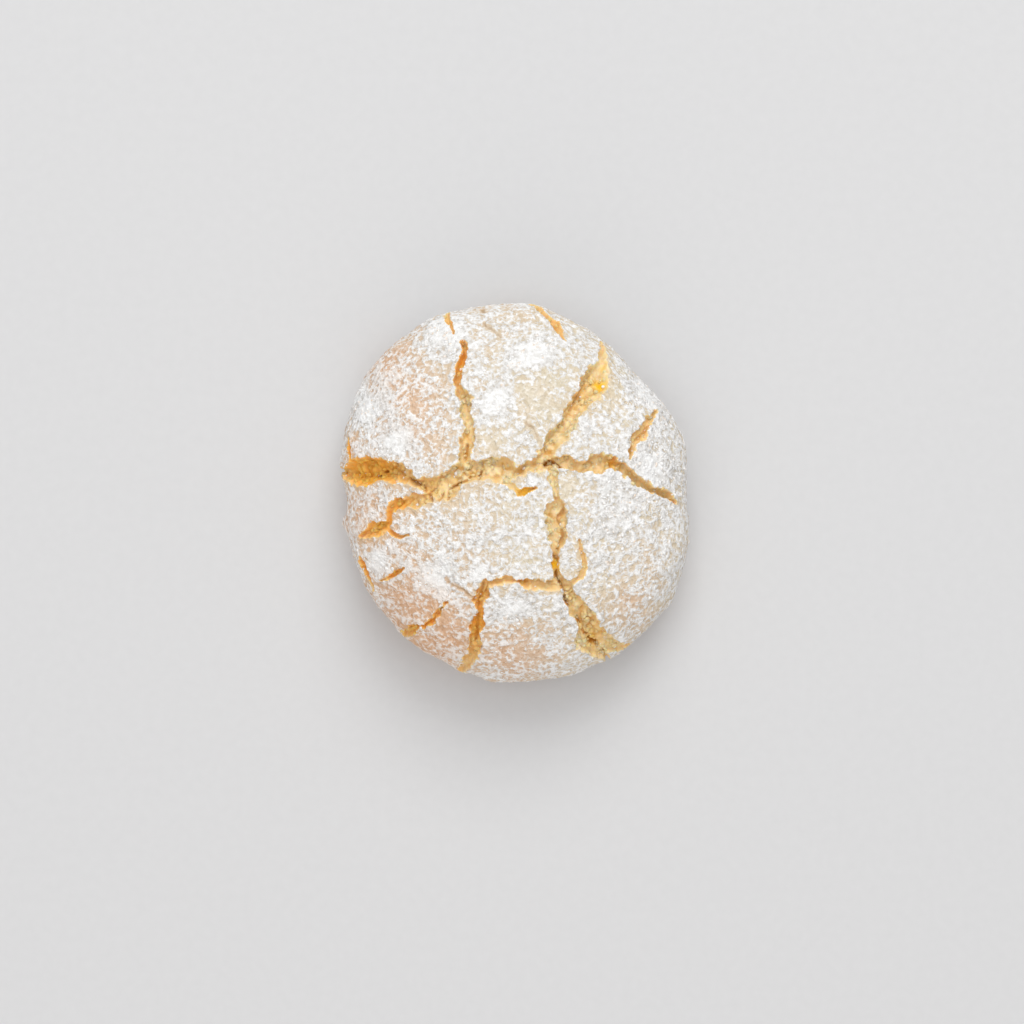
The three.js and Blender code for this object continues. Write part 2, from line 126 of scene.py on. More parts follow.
# How thickly the sugar lies: everywhere, less low on the side where it rubs off, in patches, and at cracks,
# and whiter still as painted light on crack edges that face the window.
SUGAR_COVER = 0.42
SUGAR_RUBBED_OFF = 0.5
SUGAR_PATCHES = ((0.3, 4.5), (0.34, 2.3))
SUGAR_TORN_OFF = 0.45
SUGAR_AND_LIGHT_ON_LIP = 0.4
SUGAR_IN_HAIR_CRACK = 0.9
EDGE_SUGAR_WAVE = 2.6

# Between which covers it starts to cake, and the waves of the caked patches' edges.
CAKED_FROM = (0.78, 0.95)
CAKED_EDGE_WAVE = 0.9

# The waves in which the crust is more or less brown.
BROWN_WAVE = 3.0

# The layer of noise that each pattern takes, or its first one. Patterns of different waves may share a layer.
CHUNK_LAYER = 1
PEARL_LAYER = 2
CLUMP_LAYER = 3
CURL_LAYER = 4
SUGAR_LAYER = 6
EDGE_SUGAR_LAYER = 8
PIT_LAYER = 9
BROWN_LAYER = 11
WARP_LAYER = 12
CRUMB_GRAIN_LAYER = 13
PEARLY_LAYER = 14
HAIR_CRACK_LAYER = 15
CAKED_EDGE_LAYER = 16
CLUMP_PATCH_LAYER = 20

# Edge lengths of the mesh.
CRACK_EDGE = 0.265
CRUST_EDGE = 0.5
LOW_SIDE_EDGE = 0.85
BASE_EDGE = 1.15

# The mesh starts as so many rings, and its edges are halved in so many rounds at most.
FIRST_RINGS = 8
MOST_ROUNDS = 40

# How many times longer than wanted an edge may get where a wall falls steeply, and how often such edges are
# halved.
WALL_STRETCH = 2.5
WALL_ROUNDS = 3

# Loose bits on the surface: how many, the radius of the smallest and the largest, how thick they are, from 0,
# quite flat, to 1, round, and how far they are sunk.
SUGAR_CLUMPS = 3500
CLUMP_RADII = (0.1, 0.3)
CLUMP_THICKNESS = 0.3
CRUMB_GRAINS = 800
GRAIN_RADII = (0.16, 0.45)
GRAIN_THICKNESS = 0.75
GRAIN_SUNK = 0.1

# Sugar clumps lie in patches of that size, from that height up, and few of them in the cracks.
CLUMP_PATCH = 1.4
CLUMPS_FROM_HEIGHT = 1.5
CLUMPS_IN_CRACKS = 0.03

# How much such a bit is stretched each way, how ragged it is, and how much further out than half sunk it is.
LUMP_STRETCH = (0.55, 1.35)
LUMP_RAGGEDNESS = (0.6, 1.25)
LUMP_LIFT = 0.25

SEED = 17


# Noise

# Its lattice repeats after so many cells.
LATTICE = 256
lattice_draw = np.random.default_rng(SEED)
LATTICE_ORDER = lattice_draw.permutation(LATTICE)
LATTICE_SLOPES = lattice_draw.normal(size=(LATTICE, 3))
LATTICE_SLOPES /= np.linalg.norm(LATTICE_SLOPES, axis=1, keepdims=True)
LATTICE_SPOTS = lattice_draw.random((LATTICE, 3))
LATTICE_VALUES = lattice_draw.random(LATTICE)
LAYER_STEP = np.array([31.7, 12.3, 57.1])
NOISE_GAIN = 1.5


def lattice_pick(cells):
    """A number from 0 to 255 for each cell of a lattice, always the same for the same cell."""
    x, y, z = (cells % LATTICE).T
    return LATTICE_ORDER[(LATTICE_ORDER[(LATTICE_ORDER[x] + y) % LATTICE] + z) % LATTICE]


def smooth_noise(points, wave, layer=0):
    """Smooth noise from about -1 to 1 with waves of that length."""
    at = points / wave + layer * LAYER_STEP
    cells = np.floor(at).astype(int)
    part = at - cells
    ease = part ** 3 * (part * (part * 6 - 15) + 10)
    total = np.zeros(len(points))
    for corner in itertools.product((0, 1), repeat=3):
        slopes = LATTICE_SLOPES[lattice_pick(cells + corner)]
        share = np.where(corner, ease, 1 - ease).prod(axis=1)
        total += share * (slopes * (part - corner)).sum(axis=1)
    return NOISE_GAIN * total


def warped(points, layer=0):
    """Points pushed about by noise, for patterns that aren't too even."""
    push = np.column_stack([smooth_noise(points, WARP_WAVE, layer + axis) for axis in range(3)])
    return points + WARP_REACH * push


def packed_grains(points, size, layer=0):
    """Round grains packed side by side: 0 in the gap between two and 1 on top of a grain, and a random value
    for each grain."""
    at = points / size + layer * LAYER_STEP
    cells = np.floor(at).astype(int)
    nearest = np.full(len(points), 9.0)
    second = nearest.copy()
    value = np.zeros(len(points))
    for step in itertools.product((-1, 0, 1), repeat=3):
        pick = lattice_pick(cells + step)
        apart = np.linalg.norm(at - cells - step - LATTICE_SPOTS[pick], axis=1)
        closer = apart < nearest
        second = np.where(closer, nearest, np.minimum(second, apart))
        value = np.where(closer, LATTICE_VALUES[pick], value)
        nearest = np.minimum(nearest, apart)
    return ease_between(second - nearest, 0, 0.3) * np.clip(1.1 - 1.3 * nearest ** 2, 0, 1), value


def ease_between(value, low, high):
    """0 up to low, 1 from high on, and an even curve in between."""
    t = np.clip((value - low) / (high - low), 0, 1)
    return t * t * (3 - 2 * t)


def relief(waves, points, first_layer=0):
    """Noise of several waves, each with its rise."""
    layers = enumerate(waves, first_layer)
    return sum(rise * smooth_noise(points, wave, layer) for layer, (rise, wave) in layers)


# The smooth body under the relief

def smooth_curve(before, start, end, after, t):
    """The curve from start, where t is 0, to end, where t is 1, on its way from before to after."""
    slope_in = (end - before) / 2
    slope_out = (after - start) / 2
    bend = 2 * start - 2 * end + slope_in + slope_out
    return start + slope_in * t + (end - start - slope_in - bend) * t ** 2 + bend * t ** 3


def outline_radius(angle):
    """The widest radius in a direction: a smooth closed curve through OUTLINE_RADII."""
    count = len(OUTLINE_RADII)
    at = (angle / (2 * np.pi) * count) % count
    first = np.floor(at).astype(int)
    near_radii = (OUTLINE_RADII[(first + step) % count] for step in (-1, 0, 1, 2))
    return smooth_curve(*near_radii, at - first)


def dome_height(share):
    """The dome's height at a share of the widest radius."""
    return WIDEST_HEIGHT + DOME_RISE * np.sqrt(np.maximum(0, 1 - share ** DOME_POWER))


def side_share(z):
    """The radius at a height, as a share of the widest one."""
    above = np.clip((z - WIDEST_HEIGHT) / DOME_RISE, 0, 1)
    below = np.maximum(0, WIDEST_HEIGHT - z) / SIDE_DEPTH
    return np.where(z > WIDEST_HEIGHT, (1 - above ** 2) ** (1 / DOME_POWER), np.sqrt(1 - below ** 2))


# Where a spot of the mesh lies.
TOP, RIM, BASE = 0, 1, 2


def body_points(spots):
    """Points of the body for spots on the top or the base, in a circle of radius 1. Its rim is the base's
    edge."""
    reach = np.hypot(spots[:, 0], spots[:, 1])
    angle = np.arctan2(spots[:, 1], spots[:, 0])
    on_top_sheet = spots[:, 2] == TOP
    low_height = WIDEST_HEIGHT * np.clip((1 - reach) / (1 - WIDEST_REACH), 0, 1)
    top_share = np.where(
        reach < WIDEST_REACH, np.sin(np.pi / 2 * np.minimum(1, reach / WIDEST_REACH)), side_share(low_height)
    )
    share = np.where(on_top_sheet, top_share, BASE_SHARE * reach)
    z = np.where(on_top_sheet, np.where(reach < WIDEST_REACH, dome_height(top_share), low_height), 0)
    radius = outline_radius(angle) * share
    return np.column_stack([radius * np.cos(angle), radius * np.sin(angle), z])


def outward(points):
    """The direction out of the smooth body at its points above the base."""
    angle = np.arctan2(points[:, 1], points[:, 0])
    radius = outline_radius(angle)
    share = np.hypot(points[:, 0], points[:, 1]) / radius
    above = points[:, 2] - WIDEST_HEIGHT
    on_dome = above > 0
    across = np.where(on_dome, DOME_POWER * share ** (DOME_POWER - 1), 2 * share) / radius
    up = 2 * above / np.where(on_dome, DOME_RISE, SIDE_DEPTH) ** 2
    out = np.column_stack([across * np.cos(angle), across * np.sin(angle), up])
    return out / np.linalg.norm(out, axis=1, keepdims=True)


# The cracks

def top(x, y, half_width):
    """A station of a crack on the dome."""
    share = min(1.0, math.hypot(x, y) / outline_radius(np.arctan2(y, x)))
    return x, y, float(dome_height(share)), half_width


def side(degrees, z, half_width):
    """A station of a crack on the side."""
    angle = math.radians(degrees)
    radius = outline_radius(np.float64(angle)) * side_share(np.float64(z))
    return float(radius * math.cos(angle)), float(radius * math.sin(angle)), z, half_width


EAST, SOUTH, WEST = (1, 0), (0, -1), (-1, 0)

# Each crack: how deep its floor lies on the dome and at the rim, the side on which its wall slopes softly,
# and its stations.
CRACKS = [
    # The left gash, from the side to the heart of the cookie.
    (2.3, 0.45, SOUTH, [
        side(171.5, 3, 0.2), side(172.5, 6.5, 0.5), side(173.2, 10, 0.6), top(-24.6, 3, 1.1),
        top(-23.4, 3.1, 1.7), top(-21.5, 3.2, 2.1), top(-19.3, 3.3, 1.7), top(-17.8, 3, 1.3),
    ]),
    (1.1, 0.45, SOUTH, [
        top(-19, 3.2, 1.3), top(-17.8, 3, 1.35), top(-16.4, 2.7, 1), top(-15.4, 2.1, 0.75),
        top(-14.6, 1.6, 0.7), top(-13.2, 1.2, 0.85),
    ]),
    (1.2, 1, SOUTH, [
        top(-12.9, 1.1, 0.8), top(-11.6, 0.6, 1.5), top(-10.2, 0.9, 1.9), top(-8.7, 2.3, 1.35),
        top(-7.2, 3.1, 1.5), top(-5.6, 2.9, 1.2), top(-4, 3.2, 1.4), top(-2.5, 3.3, 1.65), top(-1, 3, 1.5),
        top(0.2, 2.8, 1), top(1.4, 3.4, 0.9), top(2.8, 4, 0.9), top(4.2, 4.2, 1.1),
    ]),
    # The upper left crack.
    (1.05, 0.5, None, [
        top(-7.6, 21.9, 0.1), top(-7.3, 21.2, 0.3), top(-7.2, 20.4, 0.4), top(-7.5, 19.4, 0.5),
        top(-7.8, 18.3, 0.75), top(-8, 17, 0.75), top(-8.4, 15.8, 0.5), top(-7.9, 14.5, 0.5),
        top(-7.2, 13.2, 0.8), top(-7.2, 12, 0.95), top(-7, 10.8, 0.9), top(-6.5, 9.5, 0.8), top(-6.8, 8, 0.9),
        top(-6.9, 6.6, 0.95), top(-7.2, 5.2, 0.9), top(-7.3, 3.8, 0.8),
    ]),
    # The upper right crack: steep on its left, with a long shallow slope on its right.
    (1.0, 0.4, EAST, [
        side(60, 12, 0.25), top(13, 21, 0.5), top(12.8, 19.2, 0.8), top(12.6, 17.6, 1.25),
        top(12.2, 16.2, 1.65), top(10.9, 14.6, 1.55), top(9.6, 12.9, 1.15), top(8.4, 11, 1), top(7.2, 9.3, 1),
        top(5.8, 7.6, 1.15), top(4.8, 6.2, 1.2), top(4.2, 4.8, 1.1),
    ]),
    (1.35, 0.6, EAST, [
        top(11.6, 18.4, 0.4), top(10.6, 16.6, 0.6), top(9.7, 14.6, 0.6), top(8.4, 12.4, 0.5),
        top(7.2, 10.4, 0.5), top(5.6, 8.5, 0.6), top(4.5, 6.8, 0.7), top(4.2, 5, 0.8), top(4.8, 4.2, 0.8),
    ]),
    # The right crack, and its small branch.
    (1.3, 0.5, None, [
        top(4.6, 4.1, 0.95), top(6.2, 4.3, 0.85), top(8, 4.1, 0.9), top(10, 3.7, 0.8), top(12, 4.1, 1.25),
        top(13.5, 4.4, 1.1), top(15, 3.9, 0.85), top(16.3, 3, 0.7), top(17.8, 1.8, 0.65),
        top(19.2, 0.8, 0.55), top(20.7, 0, 0.6), top(22, -0.3, 0.65), top(23.2, -1, 0.4),
        top(23.8, -1.6, 0.15),
    ]),
    (0.6, 0.4, None, [
        top(16.7, 4.9, 0.3), top(17, 6.2, 0.4), top(17.4, 7.5, 0.5), top(18.5, 8.5, 0.65),
        top(19.3, 9.6, 0.6), top(20.2, 10.9, 0.4), top(21, 12, 0.25),
    ]),
    # The lower crack, from the heart over the lower right rim and down the side, with torn slopes beside it.
    (0.4, 0.5, None, [
        top(5.1, 3.6, 0.5), top(5.6, 2.7, 0.6), top(5.8, 1.3, 0.55), top(6, 0, 0.25), top(6.3, -1.1, 0.4),
    ]),
    (1.05, 1, None, [
        top(6.3, -1.1, 0.3), top(6.2, -2, 1), top(6, -3, 1.5), top(6.1, -4.2, 1.4), top(6.3, -5.5, 1.25),
        top(6.3, -6.8, 1.1), top(6, -8.2, 0.65), top(6, -9.5, 0.5), top(6, -10.8, 0.5), top(6.2, -12, 0.48),
        top(7.2, -13.2, 0.6), top(7.8, -14.4, 0.8), top(8.1, -15.6, 0.85), top(8.9, -16.7, 1.1),
        top(9.9, -17.9, 1.4),
    ]),
    (1.1, 0.3, WEST, [
        top(9.9, -17.9, 1.4), top(10.6, -19, 1.45), top(11.3, -20.3, 1.65), top(11.9, -21.6, 1.75),
        top(12.5, -22.8, 1.2), top(13.2, -24, 0.4), side(-61, 10, 0.25), side(-61, 6.5, 0.3),
        side(-61.5, 4, 0.2),
    ]),
    (0.6, 0.4, None, [
        top(9.5, -19.8, 0.2), top(9.6, -21.2, 0.6), top(10.2, -22.6, 0.7), top(11.4, -23.6, 0.55),
    ]),
    (0.45, 0.3, None, [
        top(12.9, -20.4, 0.3), top(13.8, -21.9, 0.85), top(14.6, -22.8, 1.15), top(15.8, -22.9, 0.8),
        top(16.9, -22.5, 0.25),
    ]),
    (0.9, 0.9, None, [
        top(13, -23.6, 0.15), side(-60.6, 12, 0.2), side(-60.5, 8.5, 0.2), side(-60.5, 6, 0.1),
    ]),
    # The lower left crack, and the cross crack that joins it to the lower one.
    (0.75, 0.6, SOUTH, [
        top(6.2, -13.6, 0.75), top(4.5, -13.6, 0.75), top(2.8, -13.3, 0.65), top(1.5, -13.2, 0.6),
        top(0.8, -13, 0.25), top(0.3, -13, 0.05), top(-0.3, -12.9, 0.3), top(-1.8, -12.8, 0.55),
        top(-3.2, -13, 0.45), top(-4.1, -13.3, 0.5),
    ]),
    (1.2, 0.4, None, [
        top(-4.1, -13.2, 0.6), top(-4.7, -14.6, 0.68), top(-5.1, -16, 0.65), top(-4.9, -17.6, 0.68),
        top(-5.4, -19.2, 0.85), top(-5.7, -20.8, 0.95), top(-5.8, -22.4, 0.8), top(-6.3, -23.9, 0.95),
        side(-106, 12.5, 0.6), side(-107, 8, 0.3),
    ]),
    # The branches of the left gash.
    (0.85, 0.55, SOUTH, [
        top(-12.2, -0.7, 0.5), top(-13.3, -1, 0.8), top(-14.6, -1.3, 0.95), top(-15.9, -1.5, 0.8),
        top(-17, -1.7, 0.7), top(-18, -2.1, 0.4), top(-18.3, -2.9, 0.25), top(-18.3, -3.6, 0.35),
        top(-18.4, -4.4, 0.35), top(-19, -5, 0.75), top(-20.1, -5.2, 1), top(-21.4, -5.8, 0.7),
        top(-22.6, -6.4, 0.1),
    ]),
    (0.5, 0.4, None, [
        top(-18.4, -5.4, 0.3), top(-17.6, -6.1, 0.12), top(-16.6, -6.5, 0.14), top(-15.4, -6.2, 0.05),
    ]),
    # Short cracks near the rim, and two on the plates.
    (0.4, 0.4, None, [
        top(-24.3, 8, 0.02), top(-24.3, 6.9, 0.2), top(-24.2, 6.1, 0.35), top(-24.1, 5.1, 0.25),
        top(-24.1, 4.3, 0.1),
    ]),
    (0.9, 0.5, None, [
        top(-22.6, -9.4, 0.2), top(-22.3, -10.4, 0.75), top(-21.8, -11.7, 0.65), top(-21.3, -13.1, 0.4),
        top(-20.8, -14.4, 0.15),
    ]),
    (0.8, 0.4, None, [
        top(-10, -16.2, 0.15), top(-11, -17.4, 0.28), top(-12, -18.8, 0.32), top(-13.1, -19.6, 0.3),
        top(-14.2, -19.7, 0.4), top(-15.2, -20.4, 0.5), side(-128, 10, 0.35),
    ]),
    (0.5, 0.4, None, [
        top(-16.1, -11, 0.08), top(-17.2, -11.9, 0.2), top(-18.4, -12.5, 0.22), top(-19.5, -12.9, 0.1),
    ]),
    (0.38, 0.4, WEST, [
        top(9.4, -7, 0.02), top(9.7, -8.4, 0.08), top(10, -9.5, 0.2), top(10.2, -10.6, 0.35),
        top(10, -11.6, 0.35), top(9.5, -12.3, 0.3), top(8.6, -12.8, 0.25), top(7.9, -13.2, 0.3),
    ]),
    (0.3, 0.4, None, [top(-1.3, 1.6, 0.5), top(-0.4, 0.9, 0.5), top(0.3, 0.1, 0.35)]),
    (0.7, 0.7, None, [top(0.4, -0.6, 0.2), top(1.1, -0.2, 0.32), top(1.9, 0.2, 0.22), top(3.1, 0.6, 0.05)]),
    (0.45, 0.3, None, [
        side(86, 11, 0.25), top(3.2, 27.3, 0.3), top(4.1, 26.3, 0.32), top(5.4, 25.1, 0.4),
        top(6.3, 24.2, 0.5), top(6.8, 22.9, 0.2), top(7.6, 21.9, 0.1),
    ]),
    (0.45, 0.4, None, [
        side(110.5, 11.5, 0.3), top(-9.8, 25.3, 0.2), top(-9.2, 24.2, 0.08), top(-8.9, 23.1, 0.05),
    ]),
    # Splits in the side that only show from beside the cookie.
    (1, 1.1, None, [
        side(18, 7.4, 0.15), side(22, 7, 0.3), side(26, 6, 0.5), side(30, 5.9, 0.35), side(35, 4.6, 0.45),
        side(38, 3.6, 0.15),
    ]),
    (1, 0.9, None, [
        side(129, 3.6, 0.15), side(133, 5.2, 0.4), side(138, 5.6, 0.5), side(143, 7, 0.3),
        side(147, 7.3, 0.15),
    ]),
    (0.8, 0.8, None, [side(228, 4.2, 0.2), side(231, 6, 0.5), side(230, 7.6, 0.4), side(232, 9, 0.15)]),
    (1, 1, None, [
        side(265, 7.2, 0.15), side(270, 6.4, 0.4), side(275, 6.4, 0.5), side(280, 4.9, 0.35),
        side(284, 4.3, 0.15),
    ]),
    (1, 1, None, [
        side(322, 4, 0.15), side(328, 5, 0.4), side(333, 6.4, 0.35), side(338, 6.6, 0.5),
        side(345, 7.4, 0.15),
    ]),
]

# Narrow fissures in the crumb: how much deeper they go, and their stations.
FISSURES = [
    (0.6, [top(-15.8, 2.1, 0.05), top(-15.2, 1.7, 0.1), top(-14.4, 1.3, 0.12), top(-13.7, 0.8, 0.1),
           top(-13, 0.1, 0.05)]),
    (0.7, [top(-9.6, -1, 0.15), top(-9.5, 0.2, 0.12), top(-8.9, 0.8, 0.1), top(-7.8, 1.3, 0.1),
           top(-6.8, 1.7, 0.12), top(-6.5, 2.2, 0.08)]),
    (0.6, [top(-5.2, 1.5, 0.08), top(-5.1, 2.4, 0.14), top(-4.9, 3, 0.05)]),
    (0.75, [top(4.4, 3.9, 0.1), top(5.1, 4.4, 0.32), top(6, 4.1, 0.26), top(6.8, 3.6, 0.08)]),
    (0.5, [top(-11.9, 0.4, 0.05), top(-12.5, -0.2, 0.08), top(-12.4, -0.9, 0.08), top(-11.6, -1.4, 0.08),
           top(-10.7, -1.1, 0.08), top(-10.6, -0.3, 0.05)]),
    (0.3, [top(8.3, 12.3, 0.05), top(9.2, 14, 0.1), top(9.9, 15.5, 0.12), top(10.7, 16.8, 0.1),
           top(11.5, 18, 0.05)]),
    (0.45, [top(7.3, -2, 0.08), top(7, -3, 0.26), top(6.3, -3.9, 0.1), top(6.6, -4.8, 0.06)]),
    (0.45, [top(6.9, -5.6, 0.06), top(7.1, -6.6, 0.18), top(6.6, -7.8, 0.1), top(6.2, -8.6, 0.06)]),
    (0.5, [top(5.3, -9.3, 0.06), top(6, -9.7, 0.16), top(6.5, -10.2, 0.08)]),
    (0.7, [top(6.5, -11.5, 0.08), top(6.2, -12, 0.14), top(6.4, -12.8, 0.1), top(6.9, -14, 0.16),
           top(7, -15.4, 0.12), top(7.5, -16.2, 0.18), top(7.9, -17, 0.1)]),
    (0.8, [top(9.3, -18.8, 0.08), top(9.7, -19.7, 0.2), top(10.3, -20.9, 0.14), top(11, -21.4, 0.1)]),
    (0.9, [top(11.1, -22.1, 0.14), top(11.6, -22.7, 0.36), top(12.3, -22.8, 0.26), top(12.7, -23.4, 0.14)]),
    (0.25, [top(-7.4, 20.6, 0.08), top(-7.7, 19.4, 0.12), top(-8.2, 18.2, 0.18), top(-8.4, 17.1, 0.18),
            top(-8.5, 16, 0.08)]),
    (0.45, [top(19.9, 9.9, 0.05), top(19.3, 8.9, 0.15), top(18.6, 8.2, 0.18), top(17.8, 7.7, 0.06)]),
    (0.4, [top(17.3, 6.8, 0.08), top(17.1, 5.8, 0.15)]),
    (0.4, [top(5.2, 25.3, 0.08), top(5.9, 24.7, 0.2), top(6.4, 24.1, 0.08)]),
    (0.3, [top(7.3, 22.9, 0.06), top(7.8, 22.3, 0.12)]),
    (0.2, [top(-7.5, 14.1, 0.06), top(-7.2, 13.2, 0.12), top(-7, 12.4, 0.06)]),
    (0.5, [top(-6.9, 6.9, 0.06), top(-7.2, 5.7, 0.25), top(-7.3, 4.8, 0.1)]),
    (0.4, [top(1.2, -13.1, 0.2), top(1.9, -13.2, 0.08)]),
    (0.3, [top(2.5, -13, 0.05), top(3.4, -13, 0.16), top(4.6, -13.2, 0.14), top(5.6, -13.3, 0.05)]),
    (0.7, [top(-21.5, 2.5, 0.18), top(-21, 2.6, 0.12)]),
    (0.8, [top(-20.4, 3.2, 0.16), top(-19.9, 3.3, 0.12)]),
    (0.4, [top(-4.6, -13.6, 0.06), top(-5, -15.2, 0.12), top(-5.4, -17, 0.08), top(-5.6, -19.6, 0.12),
           top(-5.8, -21.8, 0.14), top(-5.9, -22.6, 0.06)]),
]

# Dents in the side, and bumps with a negative depth: depth and a station with the radius.
DENTS = [
    (1.5, side(183, 9, 2.4)), (-0.5, side(189.5, 9, 1.6)), (0.95, side(197.5, 9.5, 2.6)),
    (0.4, side(45, 9, 5)), (0.4, side(108.5, 9, 2.6)), (0.4, side(205, 9, 1.6)), (-0.2, side(141, 9, 1.5)),
    (0.4, side(296, 10, 1.5)), (-0.3, side(325, 9, 1.5)), (0.35, side(228, 9, 3)), (0.3, side(246, 9, 3)),
    (-0.25, side(262, 9, 2)), (0.3, side(340, 9, 3)),
]

# Hair cracks that only mark the crust: their depth and their stations.
HAIR_CRACKS = [
    (0.35, [top(-9.8, -12.6, 0.1), top(-9.2, -13.7, 0.14), top(-8.2, -14.1, 0.14), top(-7, -14.6, 0.16),
            top(-5.8, -15.5, 0.16)]),
    (0.35, [top(1.9, 9.9, 0.08), top(2.7, 9, 0.12), top(3.2, 8, 0.14), top(3.6, 7.1, 0.14)]),
    (0.35, [top(-4.4, 25, 0.1), top(-3.1, 23.8, 0.14), top(-2, 22.7, 0.1)]),
    (0.4, [side(100, 12, 0.25), top(-4.3, 26.9, 0.25)]),
]

# How close the points of a crack's middle line are, how far off the crack is felt, and what counts as far.
ROUTE_STEP = 0.15
FIELD_REACH = 4.0
FAR = 60.0


def middle_line(stations):
    """Close points along a smooth curve through a crack's stations, each with the half width there."""
    knots = np.array(stations)
    knots = np.vstack([2 * knots[0] - knots[1], knots, 2 * knots[-1] - knots[-2]])
    spots = []
    for before, start, end, after in zip(knots, knots[1:], knots[2:], knots[3:]):
        steps = max(2, math.ceil(np.linalg.norm(end[:3] - start[:3]) / ROUTE_STEP))
        t = np.linspace(0, 1, steps, endpoint=False)[:, None]
        spots.append(smooth_curve(before, start, end, after, t))
    return np.vstack(spots + [knots[-2:-1]])


def nearest_on(line, points):
    """The points within FIELD_REACH of a line: their numbers, their distance outside the crack's edge, and
    the line's nearest spot to each."""
    middle = line[:, :3]
    low = middle.min(axis=0) - FIELD_REACH
    high = middle.max(axis=0) + FIELD_REACH
    near = np.flatnonzero(((points > low) & (points < high)).all(axis=1))
    squares = (points[near] ** 2).sum(axis=1)[:, None] + (middle ** 2).sum(axis=1)
    squares = squares - 2 * points[near] @ middle.T
    gaps = np.sqrt(np.maximum(squares, 0)) - line[:, 3]
    nearest = gaps.argmin(axis=1)
    return near, gaps[np.arange(len(near)), nearest], line[nearest]


crack_lines = [(*kind, middle_line(stations)) for *kind, stations in CRACKS]
fissure_lines = [(depth, middle_line(stations)) for depth, stations in FISSURES]
hair_lines = [(depth, middle_line(stations)) for depth, stations in HAIR_CRACKS]


def crack_field(points):
    """How the cracks touch points of the smooth body: distance outside the nearest crack's edge, negative
    inside; depth of the floor; direction away from the crack's middle; and how steep and how softly torn its
    wall is there, from 0 to 1."""
    count = len(points)
    outside = np.full(count, FAR)
    floor = np.zeros(count)
    away = np.zeros((count, 3))
    steep = np.zeros(count)
    torn = np.zeros(count)
    ragged = relief(RAGGED_EDGE, points)
    on_dome = ease_between(points[:, 2], WIDEST_HEIGHT, 0.8 * HEIGHT)
    for depth, rim_depth, soft_side, line in crack_lines:
        near, gap, spot = nearest_on(line, points)
        half_width = spot[:, 3]
        gap = gap + ragged[near] * np.minimum(1, 0.4 + half_width) - TORN_BACK
        from_middle = points[near] - spot[:, :3]
        from_middle /= np.linalg.norm(from_middle, axis=1, keepdims=True) + 1e-9
        softness = np.zeros(len(near))
        if soft_side:
            softness = ease_between(from_middle[:, :2] @ np.array(soft_side), 0.1, 0.8)
        wall = np.minimum(WALL_WIDTH + (SOFT_WALL_WIDTH - WALL_WIDTH) * softness, half_width)
        fall = WALL_FALL * ease_between(-gap, -0.1 * wall, wall)
        fall = fall + MIDDLE_FALL * ease_between(-gap, 0, half_width)
        floor[near] = np.maximum(floor[near], (rim_depth + (depth - rim_depth) * on_dome[near]) * fall)
        closer = gap < outside[near]
        chosen = near[closer]
        outside[chosen] = gap[closer]
        away[chosen] = from_middle[closer]
        steep[chosen] = ((1 - softness) * np.minimum(1, half_width / 0.8))[closer]
        torn[chosen] = softness[closer]
    return outside, floor, away, steep, torn


def line_depth(lines, points):
    """How deep narrow lines cut in, and how near each point is to one, from 0 to 1."""
    cut = np.zeros(len(points))
    nearness = np.zeros(len(points))
    for depth, line in lines:
        near, gap, spot = nearest_on(line, points)
        inside = ease_between(-gap, -0.2, 0.5 * spot[:, 3])
        cut[near] = np.maximum(cut[near], depth * inside)
        nearness[near] = np.maximum(nearness[near], ease_between(-gap, -0.5, 0))
    return cut, nearness


def hair_crack_depth(points):
    """The same for the hair cracks, which wander about their stations."""
    return line_depth(hair_lines, warped(points, HAIR_CRACK_LAYER))


def dent_depth(points):
    """How deep the dents are, less than nothing on a bump."""
    return sum(
        depth * np.exp(-((points - spot) ** 2).sum(axis=1) / radius ** 2)
        for depth, (*spot, radius) in DENTS
    )


# The mesh of the smooth body

def first_mesh():
    """Rings of spots, six more in each ring than in the last, on the top and the base, joined at the rim."""
    spots = []
    faces = []
    rim = []
    for sheet in (TOP, BASE):
        inner = [len(spots)]
        spots.append((0, 0, sheet))
        for ring in range(1, FIRST_RINGS + 1):
            if ring == FIRST_RINGS and rim:
                outer = rim
            else:
                kind = RIM if ring == FIRST_RINGS else sheet
                turns = np.arange(6 * ring) / (6 * ring) * 2 * np.pi
                outer = list(range(len(spots), len(spots) + 6 * ring))
                reach = ring / FIRST_RINGS
                spots.extend((reach * math.cos(turn), reach * math.sin(turn), kind) for turn in turns)
            if ring == FIRST_RINGS:
                rim = outer
            for sector, i in itertools.product(range(6), range(ring)):
                a = outer[sector * ring + i]
                b = outer[(sector * ring + i + 1) % len(outer)]
                c = inner[(sector * (ring - 1) + i) % len(inner)]
                d = inner[(sector * (ring - 1) + i + 1) % len(inner)]
                new = [(a, b, c)] + [(b, d, c)] * (i < ring - 1)
                faces.extend(new if sheet == TOP else [face[::-1] for face in new])
            inner = outer
    return np.array(spots, float), np.array(faces)


def middle_spots(a, b):
    """The spots half way between spots a and b."""
    on_rim = (a[:, 2] == RIM) & (b[:, 2] == RIM)
    kind = np.where(on_rim, RIM, np.where(a[:, 2] == RIM, b[:, 2], a[:, 2]))
    middle = (a[:, :2] + b[:, :2]) / 2
    reach = np.linalg.norm(middle, axis=1)
    middle[on_rim] /= reach[on_rim, None]
    return np.column_stack([middle, kind])


def wanted_edges(spots, points):
    """How long the mesh's edges may be: short in a crack and at its edge, and longest on the base."""
    outside = crack_field(points)[0]
    near_line = hair_crack_depth(points)[1]
    away_from_crack = ease_between(outside, 0.2, 0.9)
    on_crust = CRACK_EDGE + (CRUST_EDGE - CRACK_EDGE) * away_from_crack
    on_crust = np.where(near_line > 0, CRACK_EDGE, on_crust)
    on_crust += (LOW_SIDE_EDGE - CRUST_EDGE) * away_from_crack * (1 - ease_between(points[:, 2], 1, 8))
    return np.where(spots[:, 2] == BASE, BASE_EDGE, on_crust)


